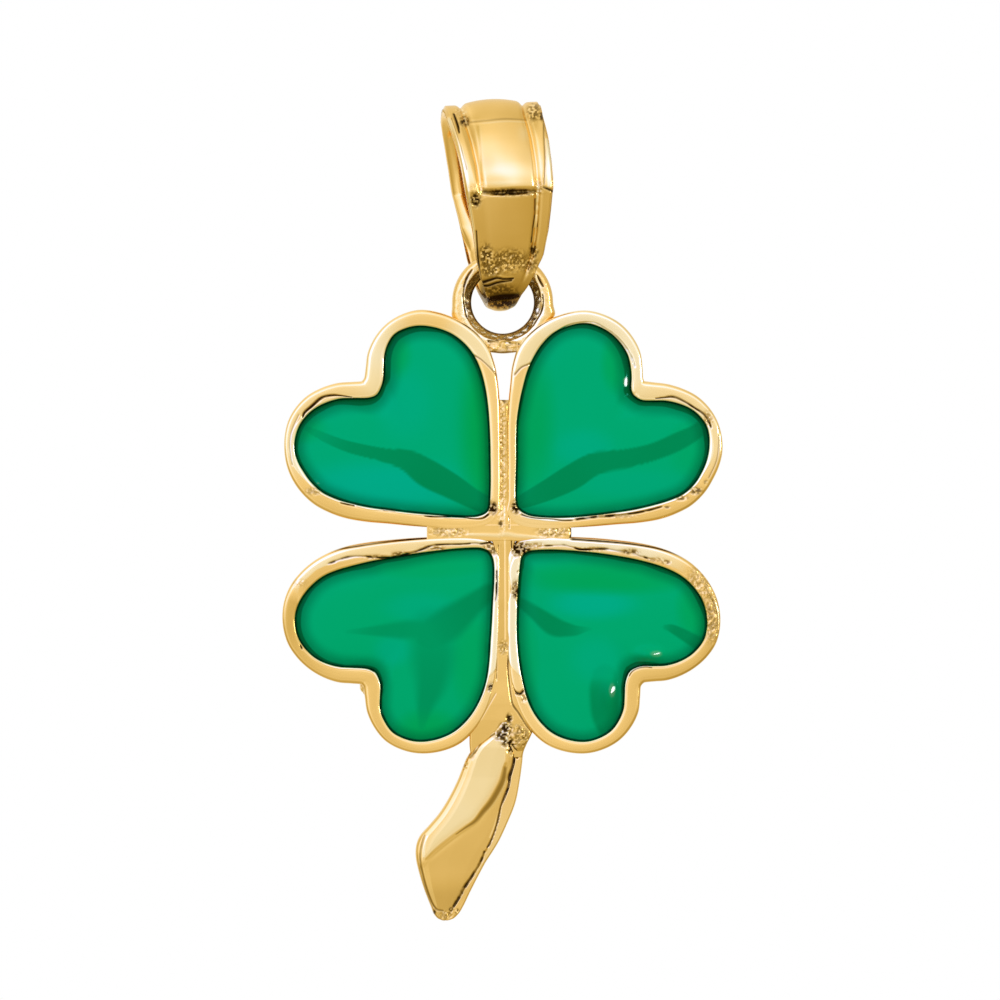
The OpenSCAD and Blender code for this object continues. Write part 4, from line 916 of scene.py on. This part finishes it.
# By height: share of it, of the width above the foot's, of the crown, of the bow, of the width kept inside
BAND_ROWS = [
    (1.00, 1.00, 1.0, 0.0, 0.84), (0.94, 0.98, 1.0, 0.0, 0.84), (0.90, 0.97, 0.8, 0.15, 0.84),
    (0.82, 0.95, 0.7, 0.45, 0.84), (0.70, 0.915, 0.7, 0.75, 0.84), (0.60, 0.885, 0.6, 0.9, 0.84),
    (0.582, 0.875, 0.5, 0.92, 0.84), (0.563, 0.86, -0.4, 0.93, 0.84), (0.545, 0.84, 0.4, 0.94, 0.84),
    (0.525, 0.825, 0.4, 0.95, 0.84), (0.46, 0.77, 0.3, 1.0, 0.82), (0.36, 0.69, 0.2, 1.0, 0.7),
    (0.24, 0.575, 0.0, 0.85, 0.5), (0.135, 0.33, 0.1, 0.4, 0.5), (0.055, 0.11, 0.2, 0.1, 0.7),
    (0.00, 0.00, 0.3, 0.0, 0.8)]
BAIL_LINES = [
    ([(-1.28, -0.07, 0.048), (-1.13, -0.47, 0.057), (-0.93, -1.05, 0.054), (-0.79, -1.62, 0.054),
      (-0.7, -2.05, 0.042), (-0.65, -2.63, 0.036), (-0.53, -3.39, 0.033), (-0.47, -4.03, 0.033),
      (-0.47, -4.57, 0.03), (-0.42, -5.05, 0.027)], 0, 0, 0.95, 0),
    ([(-1.2, -0.07, 0.012), (-1.06, -0.47, 0.012), (-0.88, -1.05, 0.012),
      (-0.73, -1.62, 0.012)], 0.01, 0.35, 0, 0),
    ([(-1.13, 0.06, 0.024), (-1.02, -0.25, 0.033), (-0.96, -0.51, 0.018)], 0.08, 1, 0, 0),
    ([(-0.85, -0.39, 0.054), (-0.7, -0.87, 0.054), (-0.55, -1.44, 0.048),
      (-0.43, -1.98, 0.036)], 0.015, 0, -0.45, 0),
    ([(-0.39, -0.33, 0.048), (-0.34, -0.84, 0.045), (-0.32, -1.44, 0.036),
      (-0.28, -1.98, 0.03)], 0.01, 0, -0.3, 0),
    ([(-0.7, -0.22, 0.021), (-0.62, -0.19, 0.027), (-0.13, -0.14, 0.03), (0.44, -0.09, 0.03),
      (1.05, -0.12, 0.021)], 0.012, 0.22, 0, 0),
    ([(-0.61, -0.25, 0.021), (-0.13, -0.21, 0.024), (0.44, -0.16, 0.024), (1.05, -0.19, 0.018)], 0, 0, 0.3, 0),
    ([(1.56, -0.06, 0.015), (1.57, -0.63, 0.018), (1.6, -1.29, 0.018), (1.57, -2.07, 0.018)], 0.02, 0.5, 0, 0.1),
    ([(1.65, -0.69, 0.03), (1.71, -1.05, 0.06), (1.73, -1.44, 0.072), (1.72, -1.83, 0.066),
      (1.71, -2.1, 0.042)], 0, 0, 1, 0),
    ([(-0.21, -2.28, 0.069), (0.26, -2.32, 0.078), (0.79, -2.3, 0.078), (1.3, -2.27, 0.06)], 0.04, 0.6, 0, 0.25),
    ([(1.56, -2.15, 0.024), (1.69, -2.2, 0.033), (1.86, -2.28, 0.033)], 0.04, 0.8, 0, 0),
    ([(-0.2, -2.44, 0.027), (0.4, -2.4, 0.027), (1.27, -2.36, 0.021)], 0, 0, 0.35, 0.2),
    ([(1.36, -2.01, 0.042), (1.37, -2.19, 0.045), (1.36, -2.46, 0.036), (1.35, -2.96, 0.024), (1.29, -3.39, 0.024),
      (1.24, -3.76, 0.024)], -0.02, 0, 0.75, 0.45),
    ([(1.3, -2.49, 0.021), (1.29, -2.94, 0.021), (1.23, -3.39, 0.021), (1.19, -3.78, 0.021)], 0.03, 0.7, 0, 0.3),
    ([(-0.45, -3.45, 0.018), (-0.41, -4.17, 0.027), (-0.37, -4.57, 0.03),
      (-0.33, -4.98, 0.027)], 0.05, 0.8, 0, 0.15),
    ([(-1.09, -2.54, 0.027), (-0.94, -2.62, 0.03), (-0.73, -2.65, 0.027)], 0.04, 0.8, 0, 0),
    ([(-0.32, -5, 0.048), (-0.04, -4.91, 0.036), (0.17, -4.85, 0.027), (0.38, -4.88, 0.024),
      (0.65, -4.86, 0.021)], 0.06, 1, 0, 0.1),
    ([(-0.26, -5.08, 0.03), (-0.1, -5.08, 0.036), (0.17, -4.99, 0.03), (0.6, -4.92, 0.021)], 0.05, 1, 0, 0.1),
    ([(-0.04, -4.79, 0.018), (0.18, -4.76, 0.021), (0.38, -4.81, 0.018), (0.65, -4.8, 0.015)], 0, 0, 0.5, 0),
    # This line and the last pits below paint a dark reflection across the foot
    ([(-0.16, -5.52, 0.078), (0.01, -5.47, 0.12), (0.32, -5.42, 0.132), (0.61, -5.4, 0.12),
      (0.79, -5.37, 0.072)], 0.02, 0.9, 0, 0)]
BAIL_PITS = [
    (-0.81, -0.16, 0.14, 0.16, 0.06, 1, 0.3, 1), (-0.94, 0.09, 0.18, 0.15, 0.01, 0.12, 0.5, 0.9),
    (1.26, 0.15, 0.2, 0.3, 0.03, 0.6, 0.5, 0.9), (1.5, 0, 0.07, 0.15, 0.03, 0.9, 0.3, 0.9),
    (0.55, -2.3, 0.81, 0.11, 0.02, 0.95, 0.2, 1), (-0.4, -2.19, 0.24, 0.12, 0.01, 0.05, 0.6, 0.9),
    (-0.48, -2.53, 0.16, 0.22, 0.07, 1.1, 0.3, 1), (1.44, -2.16, 0.1, 0.24, 0.02, 0.25, 0.6, 0.9),
    (-0.16, -4.17, 0.21, 0.33, 0.05, 0.75, 0.5, 1), (-0.01, -4.59, 0.3, 0.24, 0.04, 0.6, 0.5, 1),
    (0.46, -4.35, 0.6, 0.33, 0.02, 0.45, 0.25, 1), (1.27, -4.05, 0.14, 0.2, 0.05, 0.85, 0.1, 0.8),
    (1.16, -4.47, 0.27, 0.24, 0.03, 0.4, 0.7, 0.9), (0.55, -4.23, 0.6, 0.27, 0.01, 0.3, 0, 0.6),
    (0.4, -5.49, 0.39, 0.12, 0.02, 0.5, 0.3, 0.9), (0.22, -5.28, 0.54, 0.24, 0.005, 0.75, 0, 0.3),
    (0.38, -5.61, 0.54, 0.16, 0.01, 1, 0, 0.6)]
# Painted highlight and shade on the band's front by height: Z, sheen; and spots of it: X, Z, reach in X and in Z,
# sheen
BAIL_SHEEN = [(-6.0, -0.3), (-5.75, -0.4), (-5.6, -0.8), (-5.3, -0.8), (-4.9, -0.75), (-4.6, -0.45), (-3.6, -0.35),
              (-2.6, -0.2), (-2.34, -0.2), (-2.2, -0.1), (-2.0, 0.1), (-1.2, 0.15), (-0.3, 0.0), (-0.14, 0.0),
              (-0.08, -0.3), (0.6, -0.25)]
BAIL_SPOTS = [(0.6, -1.72, 0.7, 0.24, 0.3), (1.6, -1.0, 0.12, 1.2, -0.2), (-0.5, -0.45, 0.18, 0.45, -0.4),
              (-1.1, -0.9, 0.15, 0.7, -0.7), (-0.15, -1.45, 0.3, 0.3, -0.35), (0.4, -2.03, 0.6, 0.09, 0.4),
              (1.3, -0.25, 0.12, 0.3, -0.45), (-0.8, -3.9, 0.12, 0.6, 0.3), (-0.85, 0.08, 0.3, 0.2, 0.4),
              (1.0, -0.5, 0.2, 0.25, 0.25)]
BAIL_SEED, BAIL_ROUGH = 71, (0.02, 0.07, 72)
# Points across the front and the inside, places of the sides' rows, and how thick the band is there
BAIL_FRONT, BAIL_INSIDE, SIDES_AT, SIDES_THICK, INSIDE_W = 111, 25, [1.0, 1.0, 0.97], [0.75, 0.5, 0.15], 0.9
LEG_STEPS = 110
# The middle panel's crown from its middle to the band's edge: share of the half width squared, share of its height
CROWN_LINE = [0, 0.25, 0.33, 0.42, 1.0], [1.0, 0.4, 0.15, 0, 0]
# Place and width of the grooves, and how much thinner the band is at its edge, all as shares
GROOVE_AT, GROOVE_W, EDGE_THIN, EDGE_THIN_FROM = 0.64, 0.06, 0.3, 0.94
# Shares of the height where the left and the right groove run out, and where the foot's own shaping ends
LEFT_GROOVE, RIGHT_GROOVE, FOOT_END, SIDES_END = (0.53, 0.60), (0.12, 0.22), (0.02, 0.12), (0.03, 0.12)
# How far the foot's edges fall, how much its front and its back are filed in at the sides, and where that ends
FOOT_FALL, FILED_BACK, FILED_END = 0.12, (0.10, 0.18), (0.25, 0.4)
# Sheen and painted shade of the foot's sides and back, darker towards the foot's bottom
SIDES_SHEEN, SIDES_SHADE = -0.8, 0.6


def leg_line(grow, steps):
    """Side line of the band's front half as depth and height: a round top, a straight leg, the round foot."""
    half, rise, foot_r = HOLLOW_D / 2 + grow * BAND, CREASE + grow * BAND, SEAT + grow * BAND * FOOT_ROUND
    foot_z = -HOLLOW_H - grow * FOOT + foot_r
    meet = np.arctan2(-CREASE - foot_z, half) - np.arccos(foot_r / np.hypot(half, -CREASE - foot_z))
    a = np.linspace(np.pi / 2, 0, steps)
    top = np.stack([half * np.cos(a), -CREASE + rise * np.sin(a)], -1)
    fold = np.array([half, -CREASE])
    ankle = np.array([foot_r * np.cos(meet), foot_z + foot_r * np.sin(meet)])
    leg = fold + (ankle - fold) * np.linspace(0, 1, steps)[1:, None]
    a = meet + (-np.pi / 2 - meet) * np.linspace(0, 1, steps // 2)[1:]
    return np.vstack([top, leg, np.stack([foot_r * np.cos(a), foot_z + foot_r * np.sin(a)], -1)])


def turned(a, b, angle):
    """Two coordinates turned about the third by an angle."""
    return a * np.cos(angle) - b * np.sin(angle), a * np.sin(angle) + b * np.cos(angle)


inside_leg, outside_leg = leg_line(0, LEG_STEPS), leg_line(1, LEG_STEPS)
down = np.arange(len(inside_leg))
up = down[-2:0:-2]
order = np.concatenate([down, up])
facing = np.concatenate([-np.ones(len(down)), np.ones(len(up))])[:, None]
a, b = inside_leg[order], outside_leg[order]
out = (b - a) / np.linalg.norm(b - a, axis=1)[:, None]
share = (b[:, 1:] + HOLLOW_H + FOOT) / (HOLLOW_H + FOOT + BAND)
rows = np.array(BAND_ROWS)[::-1]
wide, crown, bow, kept = (np.interp(share, rows[:, 0], rows[:, i]) for i in range(1, 5))
across = np.concatenate([np.linspace(-1, 1, BAIL_FRONT), SIDES_AT, np.linspace(INSIDE_W, -INSIDE_W, BAIL_INSIDE),
                         -np.array(SIDES_AT[::-1])])
thick = np.concatenate([np.ones(BAIL_FRONT), SIDES_THICK, np.zeros(BAIL_INSIDE), SIDES_THICK[::-1]])
outside = thick > 0.9
off = np.abs(across)
thick = thick * (1 - EDGE_THIN * ramp(off, EDGE_THIN_FROM, 1.0) * outside)
crown_at = np.interp(off ** 2, *CROWN_LINE) * outside
groove_at = np.exp(-((off - GROOVE_AT) / GROOVE_W) ** 2) * outside
kept_groove = np.where(across < 0, ramp(share, *LEFT_GROOVE), ramp(share, *RIGHT_GROOVE))
foot_fall = FOOT_FALL * off ** 4 * outside * (1 - ramp(share, *FOOT_END))
grow = crown * CROWN * crown_at - GROOVE * groove_at * kept_groove - foot_fall
# The foot's sides are filed back towards the inside, where the ring comes close at both ends of its swing
filed_back = np.where(facing < 0, *FILED_BACK) * ramp(0.8 - thick, 0, 0.4) * (1 - ramp(share, *FILED_END))
reach = np.where(thick < 0.1, across * kept / INSIDE_W, across) * (1 - filed_back)
depth, level = (a[:, i:i + 1] + (b - a)[:, i:i + 1] * thick + out[:, i:i + 1] * grow for i in (0, 1))
x, y = turned(bow * BOW + reach * (FOOT_W + wide * (BAIL_W - FOOT_W)) / 2, facing * depth, TURN)
x, z = turned(x, level, LEAN)
front = (facing < 0) & outside
cut, stain_and_shade, sheen, grain = worked(x, z, BAIL_LINES, BAIL_PITS, BAIL_SEED)
sheen = sheen + np.interp(z, *zip(*BAIL_SHEEN)) + sum(
    strength * spot(x, z, *oval, steep=1) for *oval, strength in BAIL_SPOTS)
y = y + front * (cut - grain * bumpy(np.stack([x, y, z], -1), BAIL_ROUGH))
low = 1 - ramp(share, *SIDES_END)
bail = cast("bail", np.stack([x, y, z], -1), bail_metal, grain=front * grain,
            dark=np.where(front, stain_and_shade, SIDES_SHADE * low), sheen=np.where(front, sheen, SIDES_SHEEN * low))
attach(bail, "bail")
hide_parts("bail")

# The stage: a wide pale floor well below the pendant, seen only by the camera, and the studio's soft white tent.
# The tent is brightest before and above the pendant and warmer and darker below and to the right.
# Places and sizes are metres from here on.
FLOOR_R, FLOOR_DROP, FLOOR_SIDES = 1.5, 0.10, 96
FLOOR_COLOUR, FLOOR_ROUGH = (0.86, 0.86, 0.87, 1), 0.9
pale, tree, shader = plain_material("pale_floor")
shader.inputs["Base Color"].default_value = FLOOR_COLOUR
shader.inputs["Roughness"].default_value = FLOOR_ROUGH
floor_mesh = bpy.data.meshes.new("floor")
round_it = np.linspace(0, 2 * np.pi, FLOOR_SIDES, False)
floor_points = [(FLOOR_R * np.cos(t), FLOOR_R * np.sin(t), -FLOOR_DROP) for t in round_it]
floor_mesh.from_pydata(floor_points, [], [list(range(FLOOR_SIDES))])
floor_mesh.materials.append(pale)
floor = bpy.data.objects.new("floor", floor_mesh)
bpy.context.scene.collection.objects.link(floor)
floor.visible_glossy = floor.visible_diffuse = floor.visible_shadow = False

# Light of the tent by height: degrees above the camera's line (180 is behind the pendant), brightness
TENT = [(-180, 0.90), (-120, 0.70), (-85, 0.60), (-50, 0.68), (-30, 0.76), (-14, 0.95), (2, 1.15), (18, 1.30),
        (40, 1.12), (65, 0.98), (90, 0.92), (130, 0.95), (180, 0.90)]
# Light by side: from the left, -1, to the right, 1
SIDES = [(-1.0, 0.80), (-0.75, 0.95), (-0.35, 1.08), (0.0, 1.0), (0.25, 0.92), (0.5, 0.80), (0.8, 0.85), (1.0, 0.80)]
# The camera's own place is a little darker: share of the way round to it, brightness
HOLE = [(0.0, 1.0), (0.955, 1.0), (0.985, 0.84), (1.0, 0.80)]
# Colour of the light by its brightness
TONE = [(0.0, (0.0, 0.0, 0.0)), (0.40, (0.40, 0.30, 0.11)), (0.65, (0.65, 0.52, 0.24)), (0.82, (0.82, 0.71, 0.50)),
        (1.00, (1.00, 0.90, 0.74)), (1.10, (1.10, 1.07, 1.10)), (1.30, (1.25, 1.24, 2.0)), (1.60, (1.5, 1.5, 2.6))]
world = bpy.data.worlds.new("tent")
bpy.context.scene.world = world
world.use_nodes = True
tree = world.node_tree
tree.nodes.clear()


def light_strip(value, rows, interpolation="EASE"):
    """The light that the rows give to a value from their first place to their last."""
    low, high = rows[0][0], rows[-1][0]
    share = put(tree, "MapRange", {"Value": value, "From Min": low, "From Max": high})[0]
    return strip(tree, share, rows, low, high, interpolation)


direction = put(tree, "SeparateXYZ", {0: put(tree, "TexCoord", {})["Generated"]})
towards = maths(tree, "MULTIPLY", direction["Y"], -1)
degrees = maths(tree, "MULTIPLY", maths(tree, "ARCTAN2", direction["Z"], towards), 180 / np.pi)
brightness = maths(tree, "MULTIPLY", light_strip(degrees, TENT), light_strip(direction["X"], SIDES))
brightness = maths(tree, "MULTIPLY", brightness, light_strip(towards, HOLE, "LINEAR"))
seen = put(tree, "LightPath", {})["Is Camera Ray"]
backdrop = blend(tree, seen, light_strip(brightness, TONE, "LINEAR"), (1, 1, 1, 1))
put(tree, "OutputWorld", {0: put(tree, "Background", {0: backdrop})[0]})

# A small lamp far off to the right puts the glints on the resin's swells
LAMP_SIZE, LAMP_POWER, LAMP_AIM = 0.07, 0.2, (0, 0, -0.012)
lamp = bpy.data.lights.new("right_lamp", "AREA")
lamp.size, lamp.energy = LAMP_SIZE, LAMP_POWER
lamp_object = bpy.data.objects.new("right_lamp", lamp)
lamp_object.location = LAMP
lamp_object.rotation_euler = (Vector(LAMP_AIM) - Vector(LAMP)).to_track_quat("-Z", "Y").to_euler()
bpy.context.scene.collection.objects.link(lamp_object)

# The camera looks straight at the pendant's face from far off, as the photograph does
VIEW_H, CAMERA_FAR, CAMERA_X, CAMERA_Z = 0.030, 0.40, 0.000255, -0.01149
lens = bpy.data.cameras.new("camera")
lens.lens = lens.sensor_width * CAMERA_FAR / VIEW_H
lens.clip_start, lens.clip_end = 0.01, 10
camera = bpy.data.objects.new("camera", lens)
camera.location = (CAMERA_X, -CAMERA_FAR, CAMERA_Z)
camera.rotation_euler = (np.pi / 2, 0, 0)
bpy.context.scene.collection.objects.link(camera)
bpy.context.scene.camera = camera
bpy.context.scene.view_settings.view_transform = "Standard"
